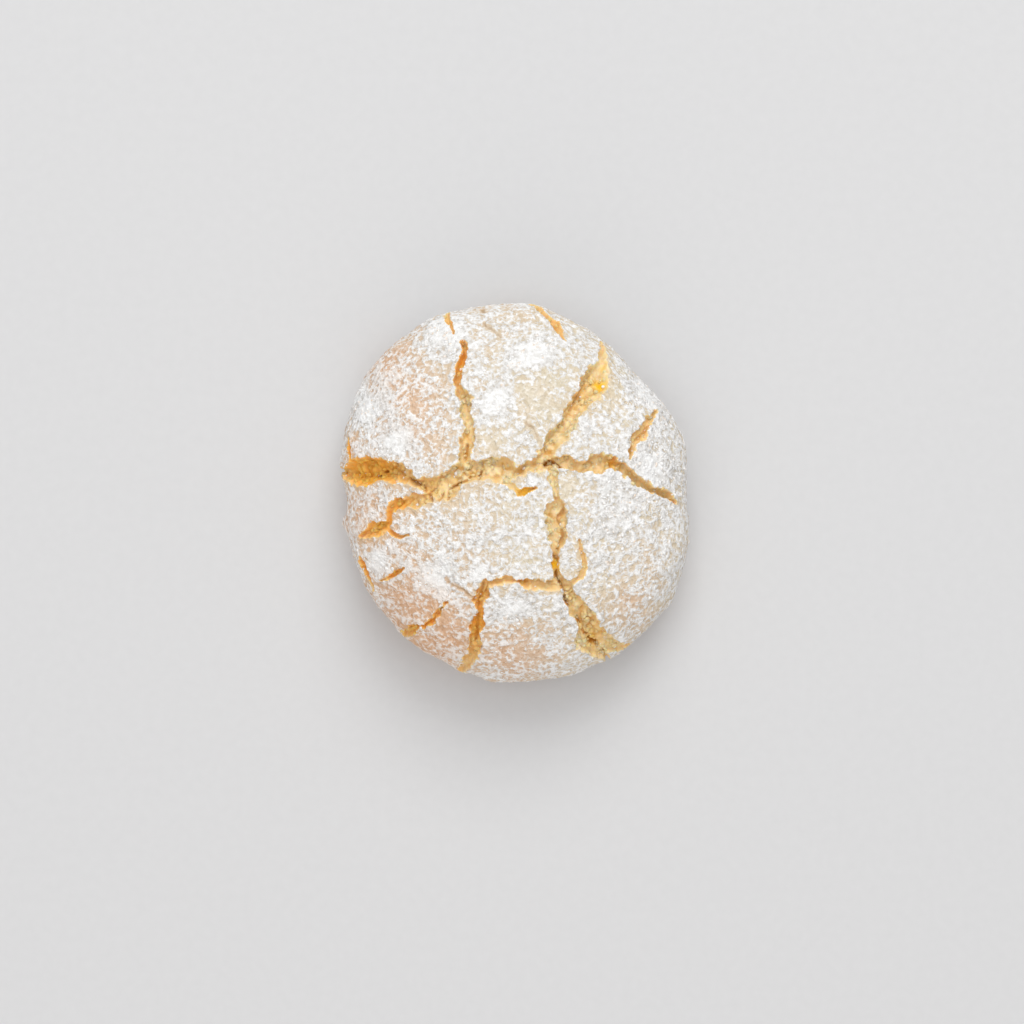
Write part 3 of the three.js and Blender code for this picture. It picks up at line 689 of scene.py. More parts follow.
def refined(spots, faces, placed, rounds):
    """Halves faces across their longest edge until no edge is longer than wanted, or for that many rounds. A
    face that shares a halved edge is halved there too, so that the mesh stays closed. placed gives spots
    their points and the edge length that is wanted there."""
    points, wanted = placed(spots)
    for _ in range(rounds):
        ends = points[faces]
        lengths = np.linalg.norm(ends - ends[:, [1, 2, 0]], axis=2)
        turn = lengths.argmax(axis=1)
        faces = np.take_along_axis(faces, (turn[:, None] + np.arange(3)) % 3, axis=1)
        edges = np.sort(np.stack([faces, faces[:, [1, 2, 0]]], axis=2), axis=2).reshape(-1, 2)
        edges, number = np.unique(edges, axis=0, return_inverse=True)
        number = number.reshape(-1, 3)
        marked = np.zeros(len(edges), bool)
        marked[number[lengths.max(axis=1) > wanted[faces].min(axis=1), 0]] = True
        if not marked.any():
            break
        while True:
            drawn_in = (marked[number[:, 1]] | marked[number[:, 2]]) & ~marked[number[:, 0]]
            if not drawn_in.any():
                break
            marked[number[drawn_in, 0]] = True
        halved = edges[marked]
        middle = np.full(len(edges), -1)
        middle[marked] = len(spots) + np.arange(len(halved))
        new_spots = middle_spots(spots[halved[:, 0]], spots[halved[:, 1]])
        new_points, new_wanted = placed(new_spots)
        spots = np.vstack([spots, new_spots])
        points = np.vstack([points, new_points])
        wanted = np.concatenate([wanted, new_wanted])
        a, b, c = faces.T
        ab, bc, ca = middle[number].T
        whole = ab < 0
        left, left_two = (ab >= 0) & (ca < 0), (ab >= 0) & (ca >= 0)
        right, right_two = (ab >= 0) & (bc < 0), (ab >= 0) & (bc >= 0)
        faces = np.vstack([
            faces[whole],
            np.column_stack([a, ab, c])[left],
            np.column_stack([a, ab, ca])[left_two],
            np.column_stack([ab, c, ca])[left_two],
            np.column_stack([ab, b, c])[right],
            np.column_stack([ab, b, bc])[right_two],
            np.column_stack([ab, bc, c])[right_two],
        ])
    return spots, faces


def on_smooth_body(spots):
    points = body_points(spots)
    return points, wanted_edges(spots, points)


# Zones seen from above: place, radius and how much more or less.

# Where the sugar lies thick or thin.
SUGAR_ZONES = [
    (-10.5, 23.5, 3.2, 0.8), (2.4, 19.8, 3.2, 0.85), (-2.7, 13.2, 2.4, 0.8), (-16.8, 7.6, 2.7, 0.9),
    (-22, 12.6, 2.8, 0.75), (-16.5, 17, 2, 0.35), (20, 14, 4, 0.5), (12, 8, 3.5, 0.35), (20, 3.5, 3.5, 0.65),
    (15, -1, 4, 0.35), (-3, -7, 4.5, -0.05), (-4.6, -11.6, 1.6, 0.9), (-11.6, -13, 2.7, 0.85),
    (-20.2, -10, 1.8, 0.7), (-0.3, -17, 3.2, 0.6), (-6, -6.5, 1.8, 0.4), (12.6, -4, 2, 0.3),
    (2.4, 1.9, 1.2, 0.8), (8.4, -18.9, 0.9, 0.8), (-8.8, 16.3, 0.6, 0.9), (-14, 12.5, 4, -0.3),
    (-12.5, 7, 3, -0.4), (-17.5, 20, 3, -0.2), (0, 26.5, 4, -0.1), (3, 14, 3.5, -0.85), (14, 13, 4, -0.3),
    (-22, -3, 4, -0.14), (-17, -4, 3, -0.22), (-15, -17, 6, -0.32), (-10, -22, 5, -0.21),
    (1, -23, 4.5, -0.35), (18, -17, 5, -0.22), (7.5, 1, 2, -0.75), (10, -1, 2, -0.15), (-4, 7, 2.5, -0.25),
    (12, -3, 3, -0.15), (0.3, -13, 0.7, 0.8),
]
# Where the crust is browner.
BROWN_ZONES = [
    (-15, 13, 6, 0.25), (-12.5, 7, 4, 0.2), (-22, -4, 6, 0.45), (-15, -17, 8, 0.6), (-9, -23, 6, 0.5),
    (1, -24, 6, 0.6), (-23, 5, 4, 0.4), (0, 27, 5, 0.15), (-20, 19, 5, 0.4), (20, -10, 3, 0.25),
    (17, -17, 4, 0.5),
]
# Where the crumb is a deeper orange or a paler one.
ORANGE_ZONES = [
    (-21.5, 3.3, 4.5, 0.9), (-8, 19.3, 3, 0.75), (-20, -5, 4.5, 0.7), (-5.3, -19, 5, 0.75),
    (11.6, -22, 1.2, 0.6), (-7.6, 2.8, 1.2, -0.15), (-1, 3.2, 1.3, -0.1), (9.6, -22, 1.6, -0.3),
    (14.5, 4.2, 1, 0.8), (2, 0.2, 1.6, 0.4), (-16.5, -2, 1.6, 0.4), (-9.6, 25, 1.5, 0.35),
    (11, -20, 2.5, 0.15), (18.6, 9, 2, 0.12), (-22, -11.5, 2.2, 0.8), (-24.2, 5.5, 2.5, 0.6),
    (-17.5, -12, 2, 0.6), (9.4, 14.4, 2, 0.35), (11.2, 17, 1.2, 0.3), (1.3, -13, 1, 0.6),
    (-12.3, 1.2, 2, 0.35), (7.2, 9.8, 3, -0.2), (-14, -19.5, 4, 0.7), (5, 25, 4, 0.3),
    (12.5, 17.5, 4, -0.3), (5.7, 1.5, 1.8, -0.3), (5.5, -5, 2.5, -0.2), (-0.5, 1, 1.2, -0.3),
    (-7, 11.5, 3, -0.25),
]
# Where it is as yellow as yolk.
YOLK_ZONES = [(12.7, 15.9, 0.85, 1.3), (5.9, -10.8, 0.75, 1.1), (1.4, -0.1, 1.3, 0.8), (13.4, 18.8, 0.5, 0.5)]
# Where it tore smooth.
SMOOTH_ZONES = [
    (9, 4.3, 1.6, 0.8), (12.5, 4.8, 1.2, 0.7), (20, 0.6, 2.5, 0.7), (6.8, 9, 1.6, 0.6), (9.3, 14.7, 1.5, 0.6),
    (12.4, 20, 1.5, 0.6), (3.5, -13.3, 2.6, 0.9), (9.7, -22, 1.7, 1), (15.4, -22.6, 2.2, 1),
    (9.6, -11.8, 1.3, 0.6), (-8, 18.8, 2.4, 0.5), (5.8, 0.8, 1.3, 0.9), (-20.5, 3.5, 2.6, 0.2),
    (-17, 3, 1.7, 0.8),
]


def zone_sum(zones, points):
    total = np.zeros(len(points))
    for x, y, radius, amount in zones:
        total += amount * np.exp(-((points[:, 0] - x) ** 2 + (points[:, 1] - y) ** 2) / radius ** 2)
    return total


def low_down(points, bottom, top_height):
    """1 up to a height of bottom and 0 from top_height on."""
    return 1 - ease_between(points[:, 2], bottom, top_height)


def beside_crack(outside, reach):
    """1 in a crack and at its edge, and less with the distance from it."""
    return np.exp(-np.maximum(0, outside) / reach)


def along_wall(outside, inside, width):
    """1 on the line that lies so far inside a crack's edge, and less on both sides of it."""
    return np.exp(-(((outside + inside) / width) ** 2))


# The baked surface

def sugar_cover(points, uneven, outside, away, torn, near_hair):
    """How thickly the sugar lies, from about 0 to 1, and where it is caked, from 0 to 1. More of it shows on
    edges of cracks, and less on torn ones; edges that face the window are whiter still, as painted light."""
    sugar = SUGAR_COVER + zone_sum(SUGAR_ZONES, points) - SUGAR_RUBBED_OFF * low_down(points, 0.3, 5)
    sugar += relief(SUGAR_PATCHES, uneven, SUGAR_LAYER)
    on_edge = 0.2 * (1 - torn) * (0.5 + smooth_noise(points, EDGE_SUGAR_WAVE, EDGE_SUGAR_LAYER))
    sugar += beside_crack(outside, 0.8) * (on_edge - SUGAR_TORN_OFF * torn)
    # Painted light: crack edges that face the window are made whiter than the sugar alone would make them.
    facing_window = ease_between(-away[:, 1], 0.2, 0.9)
    sugar += SUGAR_AND_LIGHT_ON_LIP * facing_window * (1 - torn) * beside_crack(outside, 0.3)
    sugar -= SUGAR_IN_HAIR_CRACK * near_hair
    frayed = sugar + 0.1 * smooth_noise(points, CAKED_EDGE_WAVE, CAKED_EDGE_LAYER)
    caked = ease_between(frayed, *CAKED_FROM)
    return sugar + 0.4 * caked, caked


def crust_rise(body, uneven, outside, hair, caked):
    """How far the crust stands out of the smooth body, and its curls, from 0 to 1."""
    clump, clump_value = packed_grains(uneven, CLUMP, CLUMP_LAYER)
    rise = body + CLUMP_RISE * clump * clump_value * (0.4 + caked)
    curls = []
    for layer, (curl_rise, wave) in enumerate(CURLS, CURL_LAYER):
        curl = np.maximum(-0.3, 1 - 3 * np.abs(smooth_noise(uneven, wave, layer)))
        rise += curl_rise * (1 - 0.5 * caked) * curl
        curls.append(curl)
    rise += LIP_RISE * beside_crack(outside, LIP_WIDTH) - HAIR_CRACK_SHARE * hair
    return rise, np.clip(0.7 * curls[0] + 0.3 * curls[1], 0, 1)


def crumb_rise(body, points, sunk, outside, floor, fissure, near_fissure):
    """How far the crumb stands out of the smooth body, less than nothing in a crack, and its marks: the wall
    of the crack, and the deep places between lumps, which take painted shade, with a random tone for each
    pearl, from 0 to 1."""
    uneven = warped(sunk, WARP_LAYER)
    chunks, chunk_value = packed_grains(uneven, CHUNK, CHUNK_LAYER)
    pearls, pearl_value = packed_grains(uneven, PEARL, PEARL_LAYER)
    pearly = ease_between(smooth_noise(sunk, PEARLY_WAVE, PEARLY_LAYER), -0.6, 0.1)
    wall = 1 - ease_between(-outside, 0.3, 0.9)
    smooth = np.clip(np.maximum(wall, zone_sum(SMOOTH_ZONES, points)), 0, 1)
    sunken = np.clip(floor, 0, 1)
    lumpy = sunken * (1 - 0.85 * smooth) * (1 - 0.8 * near_fissure)
    rise = body - floor - sunken * fissure
    rise += lumpy * CHUNK_RISE * (chunks * (0.5 + 0.8 * chunk_value) - 0.4)
    rise += lumpy * PEARL_RISE * pearly * (pearls * (0.4 + 0.8 * pearl_value) - 0.3)
    grain = smooth_noise(sunk, CRUMB_GRAIN, CRUMB_GRAIN_LAYER)
    rise += sunken * (1 - 0.5 * smooth) * CRUMB_GRAIN_RISE * grain
    # Painted shade: the hollows between chunks and pearls are tinted darker.
    hollow = 0.5 * (1 - chunks) + 0.9 * pearly * (1 - pearls)
    deep = np.clip(0.6 * (1 - 0.8 * smooth) * hollow + 0.25 * (pearl_value - 0.5) + 0.2 * smooth, 0, 1)
    return rise, wall, deep


def lean_over_crack(outside, sunk):
    """How far a steep wall's edge leans over the crack. Under the edge, the wall is cut back and rough."""
    lean = OVERHANG * along_wall(outside, 0, OVERHANG_WIDTH)
    lean = lean - UNDERCUT * along_wall(outside, UNDERCUT_PLACE, UNDERCUT_WIDTH)
    return lean + relief(WALL_RELIEF, sunk) * along_wall(outside, WALL_MIDDLE, UNDERCUT_WIDTH)


def bake(spots, points):
    """Moves the smooth body's points to the real surface. Gives them with the marks that finishes take."""
    outside, floor, away, steep, torn = crack_field(points)
    fissure, near_fissure = line_depth(fissure_lines, points)
    hair, near_hair = hair_crack_depth(points)
    on_body = spots[:, 2] == TOP
    calm = ease_between(points[:, 2], 0, CALM_HEIGHT) * on_body
    in_crack = ease_between(-outside, -0.02, 0.26)
    uneven = warped(points, WARP_LAYER)
    body = relief(CRUST_RELIEF, points) - dent_depth(points)
    normal = outward(np.where(on_body[:, None], points, STAND_IN))
    sunk = points - floor[:, None] * normal

    sugar, caked = sugar_cover(points, uneven, outside, away, torn, near_hair)
    crust, curl = crust_rise(body, uneven, outside, hair, caked)
    crumb, wall, deep = crumb_rise(body, points, sunk, outside, floor, fissure, near_fissure)
    rise = calm * (crust * (1 - in_crack) + crumb * in_crack)
    away -= (away * normal).sum(axis=1, keepdims=True) * normal
    lean = calm * steep * lean_over_crack(outside, sunk)
    baked = points + rise[:, None] * normal - lean[:, None] * away
    base_pits = PIT_DEPTH * ease_between(relief(BASE_PITS, points, PIT_LAYER), 0.2, 0.7)
    baked[:, 2] = np.where(spots[:, 2] == BASE, base_pits, baked[:, 2])

    west = ease_between(-points[:, 0], -4, 18)
    brown = 0.1 + 0.3 * west + zone_sum(BROWN_ZONES, points) + 0.5 * low_down(points, 0.2, 5)
    orange = 0.2 + zone_sum(ORANGE_ZONES, points) + 0.3 * low_down(points, 5, 12)
    marks = {
        "sugar": sugar,
        "caked": caked,
        "curl": curl,
        "brown": np.clip(brown + 0.15 * smooth_noise(points, BROWN_WAVE, BROWN_LAYER), 0, 1),
        "golden_edge": beside_crack(outside, 1.1) * (0.4 + 0.6 * torn),
        "crumb": np.clip(0.5 - outside / 0.6, 0, 1) * on_body,
        "broken_edge": ease_between(outside, -0.32, -0.04) * (steep + torn),
        # deep carries painted shade in the crumb's hollows with a random tone; fissure and hair_crack carry
        # painted shade in narrow cracks; wall also carries painted bounce light on crack walls.
        "deep": deep,
        "fissure": np.clip(1.3 * fissure, 0, 1),
        "hair_crack": 1.4 * hair,
        "wall": wall,
        "orange": np.clip(orange, 0, 1),
        "yolk": np.clip(zone_sum(YOLK_ZONES, points), 0, 1),
        "base_rim": ease_between(np.hypot(spots[:, 0], spots[:, 1]), 0.6, 1),
    }
    return baked, marks


# Finishes

def linear(hex_colour):
    """A colour of eight bits a channel, as sRGB hex, in the linear values that a material takes."""
    channels = [int(hex_colour[i:i + 2], 16) / 255 for i in (1, 3, 5)]
    return *(c / 12.92 if c <= 0.04045 else ((c + 0.055) / 1.055) ** 2.4 for c in channels), 1.0


def per_metre(millimetres):
    """The scale of a pattern that repeats about every so many millimetres."""
    return 1 / (millimetres * MM)


def node(tree, kind, inputs=(), **settings):
    """Adds a node with its settings. inputs gives sockets their values, or the outputs that feed them."""
    made = tree.nodes.new(kind)
    for name, value in settings.items():
        setattr(made, name, value)
    for socket, value in dict(inputs).items():
        if isinstance(value, bpy.types.NodeSocket):
            tree.links.new(value, made.inputs[socket])
        else:
            made.inputs[socket].default_value = value
    return made


# Sockets of a colour mix.
MIX_A, MIX_B, MIX_RESULT = 6, 7, 2


def new_material(name, shader_values, mark_names=()):
    """A material with its shader. Also gives the place on the object and the surface's marks, as outputs that
    its patterns and tints take."""
    material = bpy.data.materials.new(name)
    material.use_nodes = True
    tree = material.node_tree
    tree.nodes.clear()
    shader = node(tree, "ShaderNodeBsdfPrincipled", shader_values)
    node(tree, "ShaderNodeOutputMaterial", {"Surface": shader.outputs["BSDF"]})
    place = node(tree, "ShaderNodeTexCoord").outputs["Object"]
    marks = {
        mark: node(tree, "ShaderNodeAttribute", attribute_name=mark).outputs["Fac"] for mark in mark_names
    }
    return material, tree, shader, place, marks


def icing_sugared_crust():
    """Baked almond crust that was rolled in icing sugar: matt, with the powder chalk white on its fine curled
    ridges and lumps and greyer in their hollows as painted shade, and cream to pinkish tan where the crust
    shows between them, also darker in the hollows as painted shade."""
    material, tree, shader, place, marks = new_material(
        "icing-sugared almond crust",
        {"Roughness": 0.95, "IOR": 1.4, "Specular IOR Level": 0.25},
        ("sugar", "caked", "curl", "brown", "golden_edge", "hair_crack"),
    )
    # The powder lies in curled ridges about a millimetre apart, with finer lumps between them.
    bends = node(tree, "ShaderNodeTexNoise",
                 {"Vector": place, "Scale": per_metre(1.15), "Detail": 1.0, "Distortion": 0.8})
    bend = node(tree, "ShaderNodeMath", {0: bends.outputs["Fac"], 1: 0.5}, operation="SUBTRACT")
    bend = node(tree, "ShaderNodeMath", {0: bend.outputs[0]}, operation="ABSOLUTE")
    ridge = node(tree, "ShaderNodeMapRange",
                 {"Value": bend.outputs[0], "From Max": 0.13, "To Min": 0.45, "To Max": 0.0})
    lumps = node(tree, "ShaderNodeTexNoise",
                 {"Vector": place, "Scale": per_metre(0.68), "Detail": 3.0, "Roughness": 0.6})
    lump = node(tree, "ShaderNodeMapRange",
                {"Value": lumps.outputs["Fac"], "From Min": 0.32, "From Max": 0.68})
    height = node(tree, "ShaderNodeMath",
                  {0: ridge.outputs["Result"], 1: lump.outputs["Result"]}, operation="ADD").outputs[0]
    # How much painted light a spot takes from the relief: none in the hollows, which stay in painted shade,
    # and most on the ridges.
    painted_relief_light = node(tree, "ShaderNodeMath", {0: height, 1: 0.85}, operation="MULTIPLY", use_clamp=True).outputs[0]

    # The crust, darker in its hollows and lighter on its ridges as painted shade and light, and golden along
    # the cracks.
    crust_in_hollow_shade, cream = (
        node(tree, "ShaderNodeMix", {0: marks["brown"], MIX_A: linear(pale), MIX_B: linear(browned)},
             data_type="RGBA").outputs[MIX_RESULT]
        for pale, browned in (("#d9ccb0", "#d39e74"), ("#f0e7d4", "#ecc4a2"))
    )
    golden = node(tree, "ShaderNodeMath", {0: marks["golden_edge"], 1: 0.5}, operation="MULTIPLY").outputs[0]
    crust = crust_in_hollow_shade
    for share, tint in ((painted_relief_light, cream), (golden, linear("#e6c898"))):
        crust = node(tree, "ShaderNodeMix", {0: share, MIX_A: crust, MIX_B: tint},
                     data_type="RGBA").outputs[MIX_RESULT]

    # The powder, greyer in its hollows and whiter on its ridges as painted shade and light, stained where the
    # crust is browner and whitest where caked.
    stained = node(tree, "ShaderNodeMapRange",
                   {"Value": marks["brown"], "From Min": 0.55, "To Max": 0.6}).outputs["Result"]
    whitest = node(tree, "ShaderNodeMath", {0: marks["caked"], 1: 0.4}, operation="MULTIPLY").outputs[0]
    powder = linear("#c2bcb4")
    for share, tint in ((painted_relief_light, "#fefdfc"), (stained, "#f6e3d4"), (whitest, "#feffff")):
        powder = node(tree, "ShaderNodeMix", {0: share, MIX_A: powder, MIX_B: linear(tint)},
                      data_type="RGBA").outputs[MIX_RESULT]

    # Powder covers the ridges and curls first. Where there is less of it, the crust shows in more speckles.
    cover = node(tree, "ShaderNodeMath", {0: marks["curl"], 1: 0.2, 2: marks["sugar"]},
                 operation="MULTIPLY_ADD")
    speckled = node(tree, "ShaderNodeMapRange", {"Value": marks["sugar"], "From Min": 0.1, "From Max": 0.6,
                                                 "To Min": 0.84, "To Max": 0.65})
    cover = node(tree, "ShaderNodeMath",
                 {0: height, 1: speckled.outputs["Result"], 2: cover.outputs[0]}, operation="MULTIPLY_ADD")
    cover = node(tree, "ShaderNodeMapRange",
                 {"Value": cover.outputs[0], "From Min": 0.62, "From Max": 1.15, "To Min": 0.1},
                 interpolation_type="SMOOTHSTEP")
    colour = crust
    # The hair cracks are tinted dark as painted shade in the narrow cracks.
    for share, tint in ((cover.outputs["Result"], powder), (marks["hair_crack"], linear("#b08a5c"))):
        colour = node(tree, "ShaderNodeMix", {0: share, MIX_A: colour, MIX_B: tint},
                      data_type="RGBA").outputs[MIX_RESULT]

    strength = node(tree, "ShaderNodeMath", {0: marks["caked"], 1: -0.3, 2: 1.0}, operation="MULTIPLY_ADD")
    bump = node(tree, "ShaderNodeBump",
                {"Height": height, "Strength": strength.outputs[0], "Distance": 0.2 * MM})
    tree.links.new(colour, shader.inputs["Base Color"])
    tree.links.new(bump.outputs["Normal"], shader.inputs["Normal"])
    return material


def caked_icing_sugar():
    """Icing sugar that took up moisture and caked into small clumps: matt and chalk white, and stained here
    and there by the crust."""
    material, tree, shader, place, _ = new_material(
        "caked icing sugar", {"Roughness": 0.95, "Specular IOR Level": 0.25}
    )
    stains = node(tree, "ShaderNodeTexNoise", {"Vector": place, "Scale": per_metre(1.3), "Detail": 2.0})
    stained = node(tree, "ShaderNodeMapRange",
                   {"Value": stains.outputs["Fac"], "From Min": 0.5, "From Max": 0.7})
    colour = node(tree, "ShaderNodeMix",
                  {0: stained.outputs["Result"], MIX_A: linear("#f8f7f6"), MIX_B: linear("#eeddcb")},
                  data_type="RGBA")
    tree.links.new(colour.outputs[MIX_RESULT], shader.inputs["Base Color"])
    return material


def torn_almond_crumb():
    """Torn moist crumb of ground almond and egg: lumpy, pale gold on its lumps and orange in its hollows,
    where the orange is painted shade, as are its dark fissures; the walls of its cracks take a warmer tint as
    painted bounce light. It glows a little, as light goes some way into it."""
    material, tree, shader, place, marks = new_material(
        "torn almond crumb",
        {"Roughness": 0.55, "Specular IOR Level": 0.35, "Subsurface Weight": 0.45,
         "Subsurface Radius": (1.0, 0.65, 0.22), "Subsurface Scale": 1.1 * MM},
        ("orange", "deep", "wall", "broken_edge", "fissure", "yolk"),
    )
    # Tints of lumps, of hollows in painted shade, of a crack's wall in painted bounce light and of the
    # crust's broken edge, each from pale to orange.
    lumps, hollows, wall, crust_edge = (
        node(tree, "ShaderNodeMix", {0: marks["orange"], MIX_A: linear(pale), MIX_B: linear(orange)},
             data_type="RGBA").outputs[MIX_RESULT]
        for pale, orange in (
            ("#f0e0b8", "#f8c35c"), ("#d6a44e", "#d68f20"), ("#eed496", "#f2a63a"), ("#f3e2bc", "#f4c880"),
        )
    )
    # Grains of ground almond are about half a millimetre wide.
    grain = node(tree, "ShaderNodeTexNoise",
                 {"Vector": place, "Scale": per_metre(0.5), "Detail": 4.0}).outputs["Fac"]
    # The grain adds a random tone to the painted shade of the hollows.
    uneven = node(tree, "ShaderNodeMath", {0: grain, 1: 1.0, 2: -0.5}, operation="MULTIPLY_ADD")
    deep = node(tree, "ShaderNodeMath", {0: uneven.outputs[0], 1: marks["deep"]}, operation="ADD",
                use_clamp=True)
    # The walls of the cracks take a warmer, deeper tint: painted bounce light in their shade.
    walled = node(tree, "ShaderNodeMath", {0: marks["wall"], 1: 0.45}, operation="MULTIPLY")
    broken = node(tree, "ShaderNodeMath", {0: marks["broken_edge"], 1: 0.6}, operation="MULTIPLY")
    # Sugar that fell on the walls, least where the crumb is orange.
    dust = node(tree, "ShaderNodeTexNoise", {"Vector": place, "Scale": per_metre(0.7), "Detail": 4.0})
    dust = node(tree, "ShaderNodeMath", {0: dust.outputs["Fac"], 1: marks["wall"]}, operation="MULTIPLY")
    dust = node(tree, "ShaderNodeMath", {0: marks["orange"], 1: -0.15, 2: dust.outputs[0]},
                operation="MULTIPLY_ADD")
    dust = node(tree, "ShaderNodeMapRange",
                {"Value": dust.outputs[0], "From Min": 0.45, "From Max": 0.72, "To Max": 0.3},
                interpolation_type="SMOOTHSTEP")
    colour = lumps
    # Fissures are tinted dark as painted shade in their narrow depths.
    for share, tint in (
        (deep.outputs[0], hollows), (walled.outputs[0], wall), (broken.outputs[0], crust_edge),
        (marks["fissure"], linear("#bc7a1e")), (marks["yolk"], linear("#f6c826")),
        (dust.outputs["Result"], linear("#f8eedb")),
    ):
        colour = node(tree, "ShaderNodeMix", {0: share, MIX_A: colour, MIX_B: tint},
                      data_type="RGBA").outputs[MIX_RESULT]
    bump = node(tree, "ShaderNodeBump", {"Height": grain, "Strength": 0.6, "Distance": 0.12 * MM})
    tree.links.new(colour, shader.inputs["Base Color"])
    tree.links.new(bump.outputs["Normal"], shader.inputs["Normal"])
    return material


def oven_browned_base():
    """The underside, browned flat on the baking tray: golden with toffee patches and small dark pits, and
    browner towards its rim."""
    material, tree, shader, place, marks = new_material(
        "oven-browned base", {"Roughness": 0.75}, ("base_rim",)
    )
    patches = node(tree, "ShaderNodeTexNoise",
                   {"Vector": place, "Scale": per_metre(7), "Detail": 6.0, "Roughness": 0.65})
    patch = node(tree, "ShaderNodeMapRange",
                 {"Value": patches.outputs["Fac"], "From Min": 0.38, "From Max": 0.62})
    fine = node(tree, "ShaderNodeTexNoise",
                {"Vector": place, "Scale": per_metre(1.1), "Detail": 5.0, "Roughness": 0.65})
    pits = node(tree, "ShaderNodeMapRange", {"Value": fine.outputs["Fac"], "From Min": 0.34, "From Max": 0.46,
                                             "To Min": 0.7, "To Max": 0.0})
    browner = node(tree, "ShaderNodeMath", {0: marks["base_rim"], 1: 0.5}, operation="MULTIPLY")
    colour = linear("#c98645")
    for share, tint in (
        (patch.outputs["Result"], "#edc285"), (browner.outputs[0], "#b06f35"),
        (pits.outputs["Result"], "#94592a"),
    ):
        colour = node(tree, "ShaderNodeMix", {0: share, MIX_A: colour, MIX_B: linear(tint)},
                      data_type="RGBA").outputs[MIX_RESULT]
    bump = node(tree, "ShaderNodeBump",
                {"Height": fine.outputs["Fac"], "Strength": 0.8, "Distance": 0.2 * MM})
    tree.links.new(colour, shader.inputs["Base Color"])
    tree.links.new(bump.outputs["Normal"], shader.inputs["Normal"])
    return material


def matt_studio_card():
    """Pale matt card under the cookie, with the faint mottle of its fibres."""
    material, tree, shader, place, _ = new_material("matt studio card", {"Roughness": 0.9})
    fibres = node(tree, "ShaderNodeTexNoise", {"Vector": place, "Scale": per_metre(1.5), "Detail": 3.0})
    colour = node(tree, "ShaderNodeMix",
                  {0: fibres.outputs["Fac"], MIX_A: linear("#cfcfd0"), MIX_B: linear("#d4d4d5")},
                  data_type="RGBA")
    tree.links.new(colour.outputs[MIX_RESULT], shader.inputs["Base Color"])
    return material


# Pieces

def new_piece(name, points, faces, materials, smooth=True):
    """A mesh object from points in millimetres."""
    mesh = bpy.data.meshes.new(name)
    mesh.from_pydata(points * MM, [], faces)
    mesh.polygons.foreach_set("use_smooth", np.full(len(faces), smooth))
    for material in materials:
        mesh.materials.append(material)
    piece = bpy.data.objects.new(name, mesh)
    bpy.context.scene.collection.objects.link(piece)
    return piece


def add_marks(piece, marks):
    for name, values in marks.items():
        attribute = piece.data.attributes.new(name, "FLOAT", "POINT")
        attribute.data.foreach_set("value", values)


def on_real_surface(spots):
    points, wanted = on_smooth_body(spots)
    return bake(spots, points)[0], WALL_STRETCH * wanted


# The cookie's material slots.
CRUST_SLOT, CRUMB_SLOT, BASE_SLOT = 0, 1, 2


def make_cookie(materials):
    """The whole cookie as one closed mesh. Also gives its points, faces, the faces' slots and its marks."""
    spots, faces = refined(*first_mesh(), on_smooth_body, MOST_ROUNDS)
    spots, faces = refined(spots, faces, on_real_surface, WALL_ROUNDS)
    points, marks = bake(spots, body_points(spots))
    cad_middle = (np.array(cad_box[0]) + np.array(cad_box[1])) / 2 / MM
    middle = (points.min(axis=0) + points.max(axis=0)) / 2
    points = points + (*(cad_middle - middle)[:2], 0)
    piece = new_piece("sugared_cookie", points, faces, materials)
    slots = np.where(marks["crumb"][faces].mean(axis=1) > 0.5, CRUMB_SLOT, CRUST_SLOT)
    slots = np.where((spots[faces][:, :, 2] != TOP).all(axis=1), BASE_SLOT, slots)
    piece.data.polygons.foreach_set("material_index", slots)
    add_marks(piece, marks)
    return piece, points, faces, slots, marks


def ball(subdivisions):
    """Points and triangles of a ball with a radius of 1."""
    mesh = bmesh.new()
    bmesh.ops.create_icosphere(mesh, subdivisions=subdivisions, radius=1)
    mesh.verts.index_update()
    points = np.array([vertex.co[:] for vertex in mesh.verts])
    faces = np.array([[vertex.index for vertex in face.verts] for face in mesh.faces])
    mesh.free()
    return points, faces


def places_on(points, faces, weights, count, draw):
    """Random places on the faces, by area and weight: their faces, the places and the direction out there."""
    corners = points[faces]
    out = np.cross(corners[:, 1] - corners[:, 0], corners[:, 2] - corners[:, 0])
    area = np.linalg.norm(out, axis=1)
    share = area * weights
    chosen = draw.choice(len(faces), count, p=share / share.sum())
    within = draw.dirichlet((1, 1, 1), count)
    places = (corners[chosen] * within[:, :, None]).sum(axis=1)
    return chosen, places, out[chosen] / area[chosen, None]


def drawn_radii(smallest_and_largest, power, count, draw):
    """Random radii. The higher power is, the more of them are small."""
    smallest, largest = smallest_and_largest
    return smallest + (largest - smallest) * draw.random(count) ** power


def scatter_lumps(name, material, places, out, radii, subdivisions, thickness, draw):
    """Uneven lumps as one joined mesh, each flattened on the surface and sunk a little in it."""
    shape, shape_faces = ball(subdivisions)
    count = len(places)
    first = draw.normal(size=(count, 3))
    first /= np.linalg.norm(first, axis=1, keepdims=True)
    second = np.cross(first, draw.normal(size=(count, 3)))
    second /= np.linalg.norm(second, axis=1, keepdims=True)
    turns = np.stack([first, second, np.cross(first, second)], axis=1)
    lumps = shape * draw.uniform(*LUMP_STRETCH, (count, 1, 3))
    lumps = lumps * draw.uniform(*LUMP_RAGGEDNESS, (count, len(shape), 1))
    lumps = radii[:, None, None] * np.einsum("nij,njk->nik", lumps, turns)
    lumps -= (1 - thickness) * np.einsum("nij,nj->ni", lumps, out)[:, :, None] * out[:, None, :]
    lumps += (places + LUMP_LIFT * thickness * radii[:, None] * out)[:, None, :]
    faces = shape_faces + len(shape) * np.arange(count)[:, None, None]
    return new_piece(name, lumps.reshape(-1, 3), faces.reshape(-1, 3), [material])


